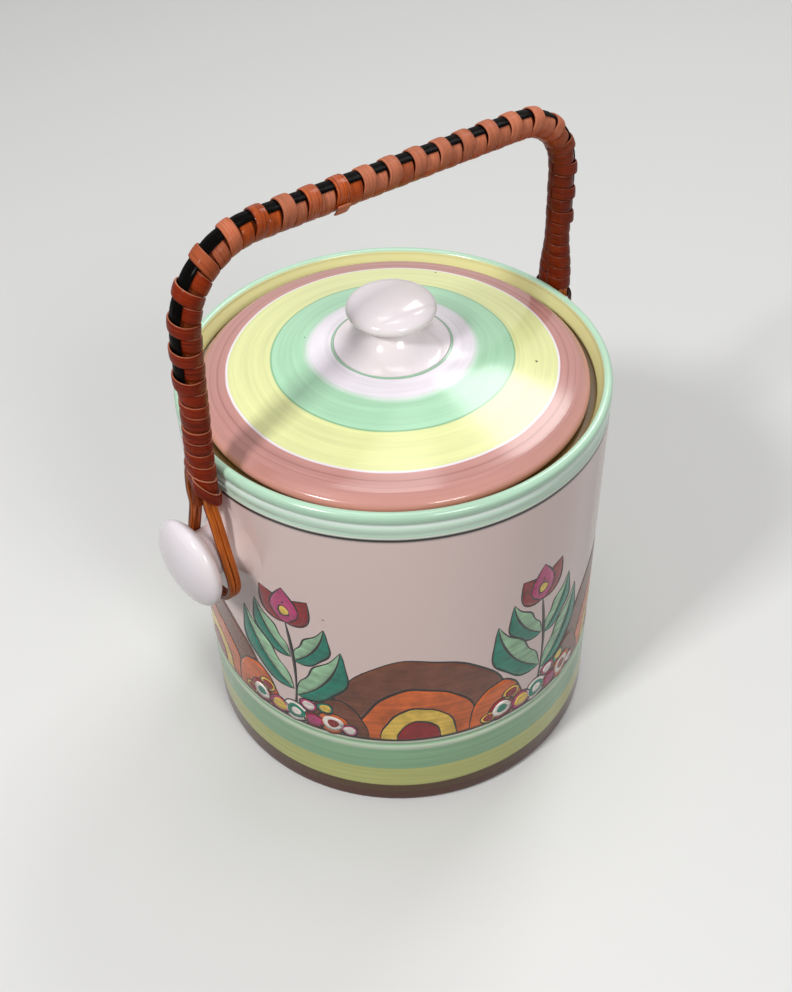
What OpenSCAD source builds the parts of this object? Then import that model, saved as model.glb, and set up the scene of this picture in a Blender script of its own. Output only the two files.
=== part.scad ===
// Biscuit jar: a straight round pottery jar with a recessed lift-off lid, two
// mushroom lugs and a cane bail handle that swings on loops round the lug necks.
// Origin: centre of the foot. +Z is up and the two lugs lie on the X axis.

/* [Jar] */
// Outside radius of the jar wall
jar_r = 66; // [65.8:0.1:66]
// Height of the jar from the foot to the top of the rim
jar_h = 132; // [126:1:140]
// Thickness of the wall
wall_t = 4.5; // [3.5:0.1:4.8]
// Thickness of the base
base_t = 6; // [4:0.5:9]
// Width of the foot ring that stands on the table
foot_w = 7.5; // [5:0.5:12]
// Depth of the recess under the base
foot_recess = 1.5; // [0.5:0.1:2.5]

/* [Lid seat] */
// Depth of the seat below the top of the rim
seat_depth = 6; // [5:0.1:7]
// Thickness of the seat at its inner edge
seat_t = 4; // [3:0.1:5]
// Radius of the mouth inside the seat
mouth_r = 55.5; // [55.2:0.1:56]
// Radius of the wall round the seat
seat_r = 61; // [60:0.1:61.3]
// Inner radius of the lip at the top of the rim
lip_in_r = 63; // [62.4:0.1:63.4]

/* [Lid] */
// Radius of the lid
lid_r = 59.3; // [58.5:0.1:59.6]
// Thickness of the lid
lid_t = 4.8; // [4:0.1:5.5]
// Slope of the lid's cone in degrees
lid_slope = 12.9; // [11:0.1:14]
// Height of the cone's point above the rim
lid_peak = 12.9; // [12:0.1:14]
// Radius of the lid's rolled edge
lid_edge_r = 2; // [1.5:0.1:2.2]
// Outer radius of the flange that centres the lid in the mouth
flange_r = 54.8; // [54:0.1:54.9]
// Thickness of the flange
flange_t = 4; // [3:0.1:5]
// Depth of the flange below the seat
flange_depth = 9; // [6:0.5:11]
// Gap between the lid and its seat
lid_gap = 0.1; // [0.05:0.01:0.2]

/* [Knob of the lid] */
// Radius of the knob's cap
knob_r = 13.3; // [12:0.1:15]
// Half the thickness of the knob's cap
knob_half_t = 4.3; // [3.8:0.1:5]
// Height of the cap's middle above the rim
knob_up = 20.8; // [20:0.1:22]
// Radius of the knob's neck
knob_neck_r = 7.7; // [7.2:0.1:8]
// Radius of the foot that flares onto the lid
knob_foot_r = 17.5; // [16.5:0.1:18]
// Radius of the hollow between the foot and the neck
knob_hollow_r = 14; // [13:0.5:16]

/* [Lugs] */
// Height of the lug axis above the foot
lug_z = 101.8; // [98:0.1:104]
// Distance from the jar's axis to the middle of a lug's cap
lug_reach = 78.8; // [78.6:0.1:81]
// Radius of a lug's cap
lug_cap_r = 14; // [13:0.1:15]
// Half the thickness of a lug's cap
lug_half_t = 5; // [4.4:0.1:5.2]
// Radius of a lug's neck
lug_neck_r = 7.2; // [6:0.1:7.4]
// Radius of the flare that joins a lug to the wall
lug_flare_r = 17; // [15:0.1:18]

/* [Bail] */
// Distance from the jar's axis to the middle of a leg where it passes the rim
leg_x = 70.4; // [70.3:0.1:70.8]
// Inward lean of the -X leg in degrees
left_lean = 3; // [0:0.1:3.5]
// Inward lean of the +X leg in degrees
right_lean = 0.9; // [0:0.1:3]
// Height of the bar's middle above the lug axis
bar_h = 93.4; // [93:0.1:100]
// Slope of the bar in degrees, down towards +X
bar_slope = 4.3; // [0:0.5:7]
// Radius of the bend on the -X side
left_bend_r = 21.6; // [18:0.5:28]
// Radius of the bend on the +X side
right_bend_r = 21; // [12:0.5:22]
// Radius of the core cane
core_r = 3.2; // [3.15:0.01:3.2]

/* [Binding] */
// Thickness of the flat binding cane
binder_t = 0.8; // [0.7:0.01:0.8]
// Distance from one turn to the next on the plain part of a leg
leg_pitch = 4.15; // [3.6:0.05:4.6]
// Distance from one turn to the next on the woven part
turn_pitch = 4.6; // [4:0.05:4.7]
// Gap between two turns
turn_gap = 0.2; // [0.1:0.05:0.5]
// Height above the lug axis at which the binding starts
wrap_from = 20.3; // [19.8:0.1:21]
// Height above the lug axis at which the black strip starts on the -X leg
left_strip_from = 57.4; // [48:0.1:59]
// Height above the lug axis at which the black strip starts on the +X leg
right_strip_from = 51.8; // [48:0.1:53]
// Thickness of the black strip
strip_t = 0.45; // [0.3:0.05:0.8]
// Half the angle that the black strip covers, in degrees
strip_angle = 36; // [28:1:38]
// Tilt of the last turn of a leg in degrees
tie_tilt = 20; // [10:1:24]
// Tilt of the -X leg's last turn away from the wall in degrees, higher on its outer side
tie_rise = 24; // [0:1:26]

/* [Loops] */
// Radius of one split cane of a loop
split_r = 0.95; // [0.8:0.01:0.98]
// Radius of the round at the bottom of a loop, to the middle of the cane
loop_r = 10.2; // [10.1:0.1:10.6]
// Distance from the lug axis down to the middle of that round
loop_drop = 6.3; // [5:0.1:6.4]
// Lean of the loops away from the wall in degrees, from upright
loop_lean = 1; // [0.5:0.1:2]
// How far each tail steps outwards below the binding
splay = 1.65; // [1.5:0.05:1.8]
// Distance from the middle of the -X leg to each tail of its loop
left_spread = 2.55; // [2.4:0.05:2.8]
// Distance from the middle of the +X leg to each tail of its loop
right_spread = 3.6; // [2.4:0.05:3.8]
// Height above the lug axis at which the tails end inside the binding
tail_top = 36; // [34:0.1:37.6]

/* [Hidden] */
$fn = 96;
fine = 16;          // steps along an outline's arc
touch_gap = 0.03;   // between pieces that lie against each other
seam = 0.02;        // how far a collar or ball stands out where two lengths of one piece join
joint_trim = 0.2;   // how far each length stops short of a joint, inside its collar
collar_len = 1;
wall_gap = 0.35;    // between the last turn and the jar wall
foot_round = 1.8;
lip_round = 1.6;
lip_in_round = 1.2;
floor_round = 5;
groove_r = 1.6;
groove_depth = 0.35;
low_groove_z = 31.2;
rim_groove_z = jar_h - 3.6;
flare_round = 12;
flare_sink = 1.8;   // how far inside the wall's surface a lug's flare starts
flare_top = 3;      // how far outside the wall's surface it ends
bevel = 0.8;        // of the seat's and the flange's edges
roll_end = 65;      // angle at which the lid's rolled edge ends
end_room = 0.4;     // extra room inside an end turn, where the tails start to spread
inner_r = jar_r - wall_t;
seat_z = jar_h - seat_depth;
lid_z = seat_z + lid_gap;
peak_z = jar_h + lid_peak;
binder_r = core_r + binder_t;
strip_in_r = binder_r + touch_gap;
strip_out_r = strip_in_r + strip_t;
over_top = strip_out_r + touch_gap + binder_t;
over_r = binder_r + 0.1;
tail_bend = wrap_from - 0.8;
splay_z = tail_bend - 3.5;
core_end = wrap_from - 0.4;

lean_z = 28.6;      // height above the lug axis of the point about which a leg leans

// Points and directions of the bail's middle line are [x, height above the lug axis]
bar_normal = [sin(bar_slope), cos(bar_slope)];
left_up = [sin(left_lean), cos(left_lean)];
right_up = [-sin(right_lean), cos(right_lean)];
left_mid = bend_mid([-leg_x, lean_z], left_up, [left_up[1], -left_up[0]], left_bend_r);
right_mid = bend_mid([leg_x, lean_z], right_up, [-right_up[1], right_up[0]], right_bend_r);
left_top = lean_z + (left_mid - [-leg_x, lean_z]) * left_up;
right_top = lean_z + (right_mid - [leg_x, lean_z]) * right_up;
left_sweep = 90 + bar_slope - left_lean;
right_sweep = 90 - bar_slope - right_lean;
bar_start = left_mid + left_bend_r * bar_normal;
bar_end = right_mid + right_bend_r * bar_normal;
bar_len = norm(bar_end - bar_start);

// Points of an arc about c from angle a0 to a1
function arc(c, r, a0, a1, n = fine) =
    [for (i = [0:n]) c + r * [cos(a0 + (a1 - a0) * i / n), sin(a0 + (a1 - a0) * i / n)]];

// Middle of the circle of radius r through p and q, on the left of the way from p to q
function mid_of(p, q, r) =
    (p + q) / 2 + sqrt(r * r - pow(norm(q - p) / 2, 2)) * [p[1] - q[1], q[0] - p[0]] / norm(q - p);

// Angle of a point seen from c, from 0 to 360
function angle_at(c, p) = (atan2(p[1] - c[1], p[0] - c[0]) + 360) % 360;

// Points of the hollow arc of radius r from p to q
function hollow_arc(p, q, r) =
    let (c = mid_of(q, p, r)) arc(c, r, angle_at(c, p), angle_at(c, q));

// Half of a cap's oval outline, from where it leaves the neck to its top
function cap_outline(neck, r, half_t, mid) =
    let (start = -acos(neck / r))
    [for (i = [0:2 * fine])
        let (a = start + (90 - start) * i / (2 * fine)) [r * cos(a), mid + half_t * sin(a)]];

// Middle of the bend of radius r between the bar and the leg through foot that runs along up
function bend_mid(foot, up, inward, r) =
    let (q = foot + r * inward) q + up * (bar_normal * ([0, bar_h] - q) - r) / (bar_normal * up);

// Number of turns, always even, that fill a length of the woven part
function even_turns(len) = 2 * round(len / turn_pitch / 2);

// ---------------------------------------------------------------- pottery

module jar_outline() {
    polygon(concat(
        [[0, foot_recess], [jar_r - foot_w - foot_recess, foot_recess], [jar_r - foot_w, 0]],
        arc([jar_r - foot_round, foot_round], foot_round, -90, 0),
        arc([jar_r - lip_round, jar_h - lip_round], lip_round, 0, 90),
        arc([lip_in_r + lip_in_round, jar_h - lip_in_round], lip_in_round, 90, 180),
        [[seat_r, seat_z], [mouth_r + bevel, seat_z], [mouth_r, seat_z - bevel],
         [mouth_r, seat_z - seat_t], [inner_r, seat_z - seat_t - inner_r + mouth_r]],
        arc([inner_r - floor_round, base_t + floor_round], floor_round, 0, -90),
        [[0, base_t]]));
}

// A shallow round groove in the wall at height z
module groove_outline(z) {
    translate([jar_r + groove_r - groove_depth, z]) circle(r = groove_r, $fn = 32);
}

module jar_body() {
    color([0.90, 0.86, 0.78])
    rotate_extrude() difference() {
        jar_outline();
        groove_outline(low_groove_z);
        groove_outline(rim_groove_z);
    }
}

module lug() {
    difference() {
        translate([0, 0, lug_z]) rotate([0, 90, 0]) rotate_extrude() polygon(concat(
            [[0, inner_r], [lug_flare_r, inner_r]],
            hollow_arc([lug_flare_r, jar_r - flare_sink], [lug_neck_r, jar_r + flare_top], flare_round),
            cap_outline(lug_neck_r, lug_cap_r, lug_half_t, lug_reach)));
        cylinder(r = jar_r, h = jar_h);
    }
}

module left_lug() {
    color([0.93, 0.88, 0.84]) mirror([1, 0, 0]) lug();
}

module right_lug() {
    color([0.93, 0.88, 0.84]) lug();
}

function cone_z(r) = peak_z - tan(lid_slope) * r;

module lid_plate() {
    shoulder_r = lid_r - 2.4 * lid_edge_r;
    color([0.78, 0.88, 0.62])
    rotate_extrude() polygon(concat(
        [[0, peak_z], [0, peak_z - lid_t], [flange_r - flange_t, cone_z(flange_r - flange_t) - lid_t],
         [flange_r - flange_t, lid_z - flange_depth], [flange_r - bevel, lid_z - flange_depth],
         [flange_r, lid_z - flange_depth + bevel], [flange_r, lid_z]],
        arc([lid_r - lid_edge_r, lid_z + lid_edge_r], lid_edge_r, -90, roll_end),
        [[shoulder_r, cone_z(shoulder_r)]]));
}

module lid_knob() {
    hollow_mid = [knob_foot_r, cone_z(knob_foot_r)] + knob_hollow_r * [sin(lid_slope), cos(lid_slope)];
    neck_angle = 180 + acos((hollow_mid[0] - knob_neck_r) / knob_hollow_r);
    color([0.95, 0.92, 0.88])
    rotate_extrude() polygon(concat(
        [[0, peak_z]],
        arc(hollow_mid, knob_hollow_r, 270 - lid_slope, neck_angle),
        cap_outline(knob_neck_r, knob_r, knob_half_t, jar_h + knob_up)));
}

// ---------------------------------------------------------------- bail: placing

// From here on +X in an outline points out of the bail, away from its middle.

// Stands its child, drawn along +Z, on the -X leg at z along the leg from the lug axis
module on_left_leg(z) {
    translate([-leg_x, 0, lug_z + lean_z]) rotate([0, left_lean, 0])
        translate([0, 0, z - lean_z]) rotate([0, 0, 180]) children();
}

// Stands its child on the +X leg at z along the leg
module on_right_leg(z) {
    translate([leg_x, 0, lug_z + lean_z]) rotate([0, -right_lean, 0])
        translate([0, 0, z - lean_z]) children();
}

// Lays its child along the bar, from the +X end back to the -X end
module on_bar() {
    translate([bar_end[0], 0, lug_z + bar_end[1]]) rotate([0, bar_slope - 90, 0]) children();
}

// Sweeps an outline round the bend with middle mid, from angle a0 over the given angle
module on_bend(mid, bend_r, a0, sweep) {
    translate([mid[0], 0, lug_z + mid[1]]) rotate([90, 0, 0]) rotate([0, 0, a0])
        rotate_extrude(angle = sweep) translate([bend_r, 0]) children();
}

// Lays a short collar over each of the four places where a bend meets a leg or the bar
module on_joints() {
    on_left_leg(left_top) linear_extrude(collar_len, center = true) children();
    on_right_leg(right_top) linear_extrude(collar_len, center = true) children();
    on_bar() linear_extrude(collar_len, center = true) children();
    on_bar() translate([0, 0, bar_len]) linear_extrude(collar_len, center = true) children();
}

// Sweeps its first child along the whole bail above the points lz and rz of the -X and +X legs.
// Each length stops just short of a joint, and a collar with the second child's outline
// bridges the gap.
module along_bail(lz, rz) {
    on_left_leg(lz) linear_extrude(left_top - lz - joint_trim) children(0);
    on_right_leg(rz) linear_extrude(right_top - rz - joint_trim) children(0);
    on_bar() translate([0, 0, joint_trim]) linear_extrude(bar_len - 2 * joint_trim) children(0);
    trimmed_bend(left_mid, left_bend_r, 90 - bar_slope, left_sweep) children(0);
    trimmed_bend(right_mid, right_bend_r, right_lean, right_sweep) children(0);
    on_joints() children(1);
}

module trimmed_bend(mid, bend_r, a0, sweep) {
    trim = joint_trim / bend_r * 180 / PI;
    on_bend(mid, bend_r, a0 + trim, sweep - 2 * trim) children();
}

// Every second turn of a straight row, from turn number first
module turn_row(len, first) {
    count = even_turns(len);
    step = len / count;
    for (i = [first:2:count - 1])
        translate([0, 0, i * step + turn_gap / 2]) linear_extrude(step - turn_gap) children();
}

// Every second turn round a bend, from turn number first
module turn_bend(mid, bend_r, a0, sweep, first) {
    count = even_turns(bend_r * sweep * PI / 180);
    step = sweep / count;
    gap = turn_gap / bend_r * 180 / PI;
    for (i = [first:2:count - 1])
        on_bend(mid, bend_r, a0 + i * step + gap / 2, step - gap) children();
}

// Every second turn of the woven part; the -X leg starts with turn number first
module woven_turns(first) {
    other = 1 - first;
    on_left_leg(left_strip_from) turn_row(left_top - left_strip_from, first) children();
    on_right_leg(right_strip_from) turn_row(right_top - right_strip_from, other) children();
    on_bar() turn_row(bar_len, other) children();
    turn_bend(left_mid, left_bend_r, 90 - bar_slope, left_sweep, other) children();
    turn_bend(right_mid, right_bend_r, right_lean, right_sweep, other) children();
}

// ---------------------------------------------------------------- bail: outlines

// A circle drawn out by dy to both sides along Y
module long_circle(r, dy) {
    if (dy == 0) circle(r = r);
    if (dy > 0) {
        for (y = [-dy, dy]) translate([0, y]) circle(r = r);
        square([2 * r, 2 * dy], center = true);
    }
}

// The wedge that the black strip covers, out to radius r
module strip_wedge(r, angle) {
    reach = 2 * r;
    intersection() {
        circle(r = r);
        polygon([[0, 0], [reach, -reach * tan(angle)], [reach, reach * tan(angle)]]);
    }
}

module under_outline() {
    difference() {
        circle(r = binder_r);
        circle(r = core_r + touch_gap);
    }
}

module over_outline() {
    difference() {
        union() {
            circle(r = binder_r);
            translate([over_top - over_r, 0]) circle(r = over_r);
        }
        circle(r = core_r + touch_gap);
        strip_wedge(strip_out_r + touch_gap, strip_angle + 1);
    }
}

// The black strip's outline, made larger all round by extra
module strip_outline(extra = 0) {
    difference() {
        strip_wedge(strip_out_r + extra, strip_angle + 10 * extra);
        circle(r = strip_in_r - extra);
    }
}

// ---------------------------------------------------------------- bail: pieces

// What is shaved off the two cheeks of the core's end, for the tails of a loop
module core_cheeks(spread) {
    half_t = spread - split_r - touch_gap;
    for (m = [0, 1]) mirror([0, m, 0])
        translate([-2 * core_r, half_t, 0]) cube([4 * core_r, 2 * core_r, tail_top + touch_gap]);
}

module bail_core() {
    color([0.62, 0.40, 0.22]) difference() {
        along_bail(core_end, core_end) {
            circle(r = core_r);
            circle(r = core_r + seam);
        }
        on_left_leg(0) core_cheeks(left_spread);
        on_right_leg(0) core_cheeks(right_spread);
    }
}

// A straight length of split cane with a ball at its first end
module rod(p, q) {
    d = q - p;
    translate(p) {
        sphere(r = split_r + seam);
        rotate([0, acos(d[2] / norm(d)), atan2(d[1], d[0])]) cylinder(r = split_r, h = norm(d));
    }
}

// One split cane of a loop: two tails that step outwards, two sides and the round at the bottom.
// The tails lie along a leg with the given lean.
module loop_cane(x, spread, lean) {
    middle = [0, -loop_drop];
    knee = [spread + splay, splay_z];
    d = knee - middle;
    touch = atan2(d[1], d[0]) - acos(loop_r / norm(d));
    side = middle + loop_r * [cos(touch), sin(touch)];
    for (s = [-1, 1]) rod([x, s * spread, tail_bend], [x, s * spread, tail_top]);
    translate([0, 0, tail_bend]) rotate([0, lean - loop_lean, 0]) translate([x, 0, -tail_bend]) {
        for (s = [-1, 1]) {
            rod([0, s * knee[0], knee[1]], [0, s * spread, tail_bend]);
            rod([0, s * side[0], side[1]], [0, s * knee[0], knee[1]]);
        }
        translate([0, 0, middle[1]]) rotate([90, 0, 90]) rotate([0, 0, 180 - touch])
            rotate_extrude(angle = 180 + 2 * touch) translate([loop_r, 0]) circle(r = split_r, $fn = 32);
    }
}

module left_loop_wall_cane() {
    color([0.70, 0.42, 0.20]) on_left_leg(0) loop_cane(-split_r - touch_gap, left_spread, left_lean);
}

module left_loop_cap_cane() {
    color([0.74, 0.45, 0.22]) on_left_leg(0) loop_cane(split_r + touch_gap, left_spread, left_lean);
}

module right_loop_wall_cane() {
    color([0.70, 0.42, 0.20]) on_right_leg(0) loop_cane(-split_r - touch_gap, right_spread, right_lean);
}

module right_loop_cap_cane() {
    color([0.74, 0.45, 0.22]) on_right_leg(0) loop_cane(split_r + touch_gap, right_spread, right_lean);
}

// Half the straight length of the binding's outline where it holds the tails
function widen(spread) = spread + split_r - core_r + 0.3;

// The plain turns of one leg: wide ones over the tails, round ones above them
module leg_turns(spread, top) {
    count = round((top - wrap_from) / leg_pitch);
    step = (top - wrap_from) / count;
    for (i = [0:count - 1]) {
        z = wrap_from + i * step;
        dy = z < tail_top ? widen(spread) : 0;
        translate([0, 0, z + turn_gap / 2]) linear_extrude(step - turn_gap) difference() {
            long_circle(binder_r, dy);
            long_circle(core_r + touch_gap, dy);
        }
    }
}

module left_leg_binding() {
    color([0.66, 0.34, 0.18]) on_left_leg(0) leg_turns(left_spread, left_strip_from);
}

module right_leg_binding() {
    color([0.66, 0.34, 0.18]) on_right_leg(0) leg_turns(right_spread, right_strip_from);
}

module woven_under_turns() {
    color([0.72, 0.42, 0.26]) woven_turns(1) under_outline();
}

module woven_over_turns() {
    color([0.78, 0.46, 0.30]) woven_turns(0) over_outline();
}

module black_strip() {
    color([0.05, 0.04, 0.04]) along_bail(left_strip_from, right_strip_from) {
        strip_outline();
        strip_outline(seam);
    }
}

// The last turn of a leg: tilted, lying on the binding and, below it, clear of the spreading
// tails. It is flattened where the leg passes the jar wall.
module end_turn(spread, tilt, rise) {
    dy = widen(spread);
    room = leg_x - jar_r - wall_gap;
    difference() {
        translate([0, 0, wrap_from - 0.6]) rotate([tilt, -rise, 0])
            linear_extrude(leg_pitch - turn_gap, center = true) difference() {
                long_circle(binder_r + binder_t, dy);
                long_circle(core_r, dy);
            }
        linear_extrude(2 * wrap_from) long_circle(binder_r + touch_gap, dy);
        linear_extrude(wrap_from) long_circle(binder_r + end_room, dy);
        translate([-room - jar_r, -jar_r, 0]) cube([jar_r, 2 * jar_r, 2 * wrap_from]);
    }
}

module left_end_turn() {
    color([0.70, 0.38, 0.20]) on_left_leg(0) end_turn(left_spread, -tie_tilt, tie_rise);
}

module right_end_turn() {
    color([0.70, 0.38, 0.20]) on_right_leg(0) end_turn(right_spread, tie_tilt, 0);
}

jar_body();
left_lug();
right_lug();
lid_plate();
lid_knob();
bail_core();
left_loop_wall_cane();
left_loop_cap_cane();
right_loop_wall_cane();
right_loop_cap_cane();
left_leg_binding();
right_leg_binding();
woven_under_turns();
woven_over_turns();
black_strip();
left_end_turn();
right_end_turn();
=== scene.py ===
# %% [markdown]
# # A biscuit jar with a cane-bound bail
# The real thing is a straight round pot of glazed earthenware. Its lid sits inside the rim, two
# mushroom lugs stand on the wall, and a cane handle hangs on them by two loops of split cane.
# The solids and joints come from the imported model. This script gives every piece its finish.

import bpy
import numpy as np
from mathutils import Matrix, Vector


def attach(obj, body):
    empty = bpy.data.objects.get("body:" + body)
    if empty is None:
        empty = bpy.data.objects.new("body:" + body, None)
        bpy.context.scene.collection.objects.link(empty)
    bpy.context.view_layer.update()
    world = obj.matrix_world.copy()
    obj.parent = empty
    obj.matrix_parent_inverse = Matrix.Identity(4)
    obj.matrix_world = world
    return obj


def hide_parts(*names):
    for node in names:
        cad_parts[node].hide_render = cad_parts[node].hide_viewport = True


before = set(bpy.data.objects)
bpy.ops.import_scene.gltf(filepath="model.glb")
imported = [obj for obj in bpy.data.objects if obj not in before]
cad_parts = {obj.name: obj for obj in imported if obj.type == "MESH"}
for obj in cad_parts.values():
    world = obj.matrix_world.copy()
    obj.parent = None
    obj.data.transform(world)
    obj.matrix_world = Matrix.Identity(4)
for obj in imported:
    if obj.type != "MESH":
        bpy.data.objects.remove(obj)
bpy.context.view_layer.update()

# %% [markdown]
# ## Camera
# A camera is placed by where it stands and by three turns: its heading round the vertical, its
# tilt up from looking straight down, and a small roll. It stands about 40 degrees to the left of
# the front and looks down on the lid. Aiming it at a point would leave no room for the roll.

# %% Camera
MM = 0.001
CAMERA_PLACE, LENS, FILM_WIDTH = (-0.20057, -0.23534, 0.36920), 46.79, 36
HEADING, TILT, ROLL = np.radians([-40.41, 46.69, -1.66])

camera_data = bpy.data.cameras.new("studio_camera")
camera_data.lens, camera_data.sensor_width, camera_data.clip_start = LENS, FILM_WIDTH, 0.01
camera = bpy.data.objects.new("studio_camera", camera_data)
camera.matrix_world = (Matrix.Translation(CAMERA_PLACE) @ Matrix.Rotation(HEADING, 4, "Z")
                       @ Matrix.Rotation(TILT, 4, "X") @ Matrix.Rotation(ROLL, 4, "Z"))
bpy.context.collection.objects.link(camera)
bpy.context.scene.camera = camera
print("camera height:", round(camera.location.z, 3), "m")

# %% [markdown]
# ## Floor and light
# Glaze shows what it mirrors, so the light comes from a few soft lamps and an even pale sky. The
# strongest lamp stands on the side of the left lug, in line with the bail, so the handle lays a
# soft shadow across the lid. Another lights the front of the wall. Together they light a level
# surface with about one, and a colour then renders as it is written.

# %% Floor and lamps
FLOOR_HALF, LAMP_AIM = 4, (0, 0, 0.11)
KEY_DISTANCE, KEY_RISE = 1.1, np.radians(44)
# Each lamp: where it stands, the side of its square, and its power
LAMPS = {"key_lamp": ((-KEY_DISTANCE * np.cos(KEY_RISE), -0.06,
                       0.12 + KEY_DISTANCE * np.sin(KEY_RISE)), 0.16, 6.0),
         "top_lamp": ((0.12, 0.20, 1.45), 0.5, 3.0),
         "front_lamp": ((-0.20, -1.0, 0.85), 0.35, 5.0),
         "side_lamp": ((0.75, 0.25, 1.0), 0.4, 3.8)}


def area_lamp(name, place, size, power):
    """A square lamp of the given size and power at place, turned to face the jar's middle."""
    data = bpy.data.lights.new(name, "AREA")
    data.size, data.energy = size, power
    lamp = bpy.data.objects.new(name, data)
    aim = Vector(LAMP_AIM) - Vector(place)
    lamp.matrix_world = (Matrix.Translation(place)
                         @ aim.to_track_quat("-Z", "Y").to_matrix().to_4x4())
    bpy.context.collection.objects.link(lamp)


floor_mesh = bpy.data.meshes.new("studio_floor")
floor_mesh.from_pydata([(-FLOOR_HALF, -FLOOR_HALF, 0), (FLOOR_HALF, -FLOOR_HALF, 0),
                        (FLOOR_HALF, FLOOR_HALF, 0), (-FLOOR_HALF, FLOOR_HALF, 0)],
                       [], [(0, 1, 2, 3)])
floor = bpy.data.objects.new("studio_floor", floor_mesh)
bpy.context.collection.objects.link(floor)
for name, (place, size, power) in LAMPS.items():
    area_lamp(name, place, size, power)
bpy.context.scene.view_settings.view_transform = "Standard"
print("lamps:", {name: np.round(place, 2).tolist() for name, (place, *_) in LAMPS.items()})

# %% [markdown]
# ## Shader nodes by short calls
# The sky and every finish are trees of shader nodes. One small class wraps a tree and gives each
# kind of node a short call, so that a finish reads like a sum.

# %% Short calls for shader nodes
class Nodes:
    """A node tree. What a call is given is a number, a colour or another node's output."""

    def __init__(self, tree):
        self.tree = tree

    def fill(self, socket, value):
        """Links an output to a socket, or writes a number or colour into it."""
        if isinstance(value, bpy.types.NodeSocket):
            self.tree.links.new(value, socket)
        elif value is not None:
            socket.default_value = value

    def add(self, kind, *values, **settings):
        """Adds a node, sets its options and fills its inputs in order. None skips an input."""
        made = self.tree.nodes.new("ShaderNode" + kind)
        for key, value in settings.items():
            setattr(made, key, value)
        for socket, value in zip(made.inputs, values):
            self.fill(socket, value)
        return made

    def use(self, group, **inputs):
        """Places a node group and returns its outputs."""
        made = self.add("Group")
        made.node_tree = group
        for key, value in inputs.items():
            self.fill(made.inputs[key], value)
        return made.outputs

    def math(self, operation, *values):
        """The result of one Math node."""
        return self.add("Math", *values, operation=operation).outputs[0]

    def plus(self, first, second):
        """The sum of two values."""
        return self.math("ADD", first, second)

    def times(self, first, second):
        """The product of two values."""
        return self.math("MULTIPLY", first, second)

    def between(self, value, low, high, to_low=0.0, to_high=1.0):
        """Maps a value from one range to another, and holds it inside."""
        return self.add("MapRange", value, low, high, to_low, to_high).outputs[0]

    def spread(self, value, low, high):
        """Maps a value that runs from 0 to 1 to the given range."""
        return self.between(value, 0.0, 1.0, low, high)

    def parts(self, vector):
        """The three parts of a vector."""
        return self.add("SeparateXYZ", vector).outputs

    def vector(self, x, y, z):
        """The vector with the given parts."""
        return self.add("CombineXYZ", x, y, z).outputs[0]

    def noise(self, place, scale, detail, roughness):
        """Noise at a place."""
        return self.add("TexNoise", place, None, scale, detail, roughness).outputs[0]

    def blend(self, share, first, second, mode="MIX"):
        """Two colours mixed."""
        made = self.add("Mix", data_type="RGBA", blend_type=mode)
        for number, value in ((0, share), (6, first), (7, second)):
            self.fill(made.inputs[number], value)
        return made.outputs[2]

    def scaled(self, colour, factor):
        """A colour made lighter or darker by a factor."""
        return self.add("VectorMath", colour, None, None, factor, operation="SCALE").outputs[0]

    def bump(self, height, strength, distance):
        """The normal of a surface that is stirred by a height from 0 to 1."""
        made = self.add("Bump", strength)
        self.fill(made.inputs["Distance"], distance)
        self.fill(made.inputs["Height"], height)
        return made.outputs[0]


# %% Sky
SKY_LEVEL, SKY_LIGHT, ROOM_GREY = 0.20, (1.0, 0.99, 0.98, 1), (0.80, 0.80, 0.79, 1)


def seen_directly(nodes):
    """1 for rays from the camera, a mirror or glass, and 0 for the light that is scattered."""
    path = nodes.add("LightPath").outputs
    seen = nodes.math("MAXIMUM", path["Is Camera Ray"], path["Is Glossy Ray"])
    return nodes.math("MAXIMUM", seen, path["Is Transmission Ray"])


world = bpy.data.worlds.new("studio_sky")
bpy.context.scene.world = world
world.use_nodes = True
sky = Nodes(world.node_tree)
sky_light = world.node_tree.nodes["Background"]
sky_light.inputs["Color"].default_value = SKY_LIGHT
sky_light.inputs["Strength"].default_value = SKY_LEVEL
seen_sky = sky.add("Background", ROOM_GREY)
either = sky.add("MixShader", seen_directly(sky), sky_light.outputs[0], seen_sky.outputs[0])
sky.fill(world.node_tree.nodes["World Output"].inputs["Surface"], either.outputs[0])
print("sky nodes:", len(world.node_tree.nodes))

# %% [markdown]
# ## Surfaces from grids
# Every new piece is a grid of points: rows run along the piece and columns run round it. The
# grid becomes a mesh in one go, with no loop over its points. Where a row shrinks to a single
# point, as at the top of a knob, its points are welded and the squares there become triangles.
# Modifiers on simple solids could also make these pieces, but a formula gives each curve exactly.

# %% From grids to pieces
def grid_squares(rows, columns):
    """Corner numbers of the squares between neighbouring rows and columns. The last column joins
    the first."""
    i, j = np.meshgrid(np.arange(rows - 1), np.arange(columns), indexing="ij")
    k = (j + 1) % columns
    return np.stack([i * columns + j, (i + 1) * columns + j, (i + 1) * columns + k,
                     i * columns + k], -1).reshape(-1, 4)


def enclosed_volume(points, squares):
    """Volume inside a closed shell: a sixth of the sum of a . (b x c) over its triangles. It is
    negative where the faces look inwards."""
    a, b, c, d = (points[squares[:, n]] for n in range(4))
    return float(((a * np.cross(b, c)).sum() + (a * np.cross(c, d)).sum()) / 6)


def weld(points, squares, values):
    """Makes one point of all that lie within a tenth of a micron."""
    _, first, number = np.unique(np.round(points / 1e-7).astype(np.int64), axis=0,
                                 return_index=True, return_inverse=True)
    return points[first], number.ravel()[squares], {k: v[first] for k, v in values.items()}


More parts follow.
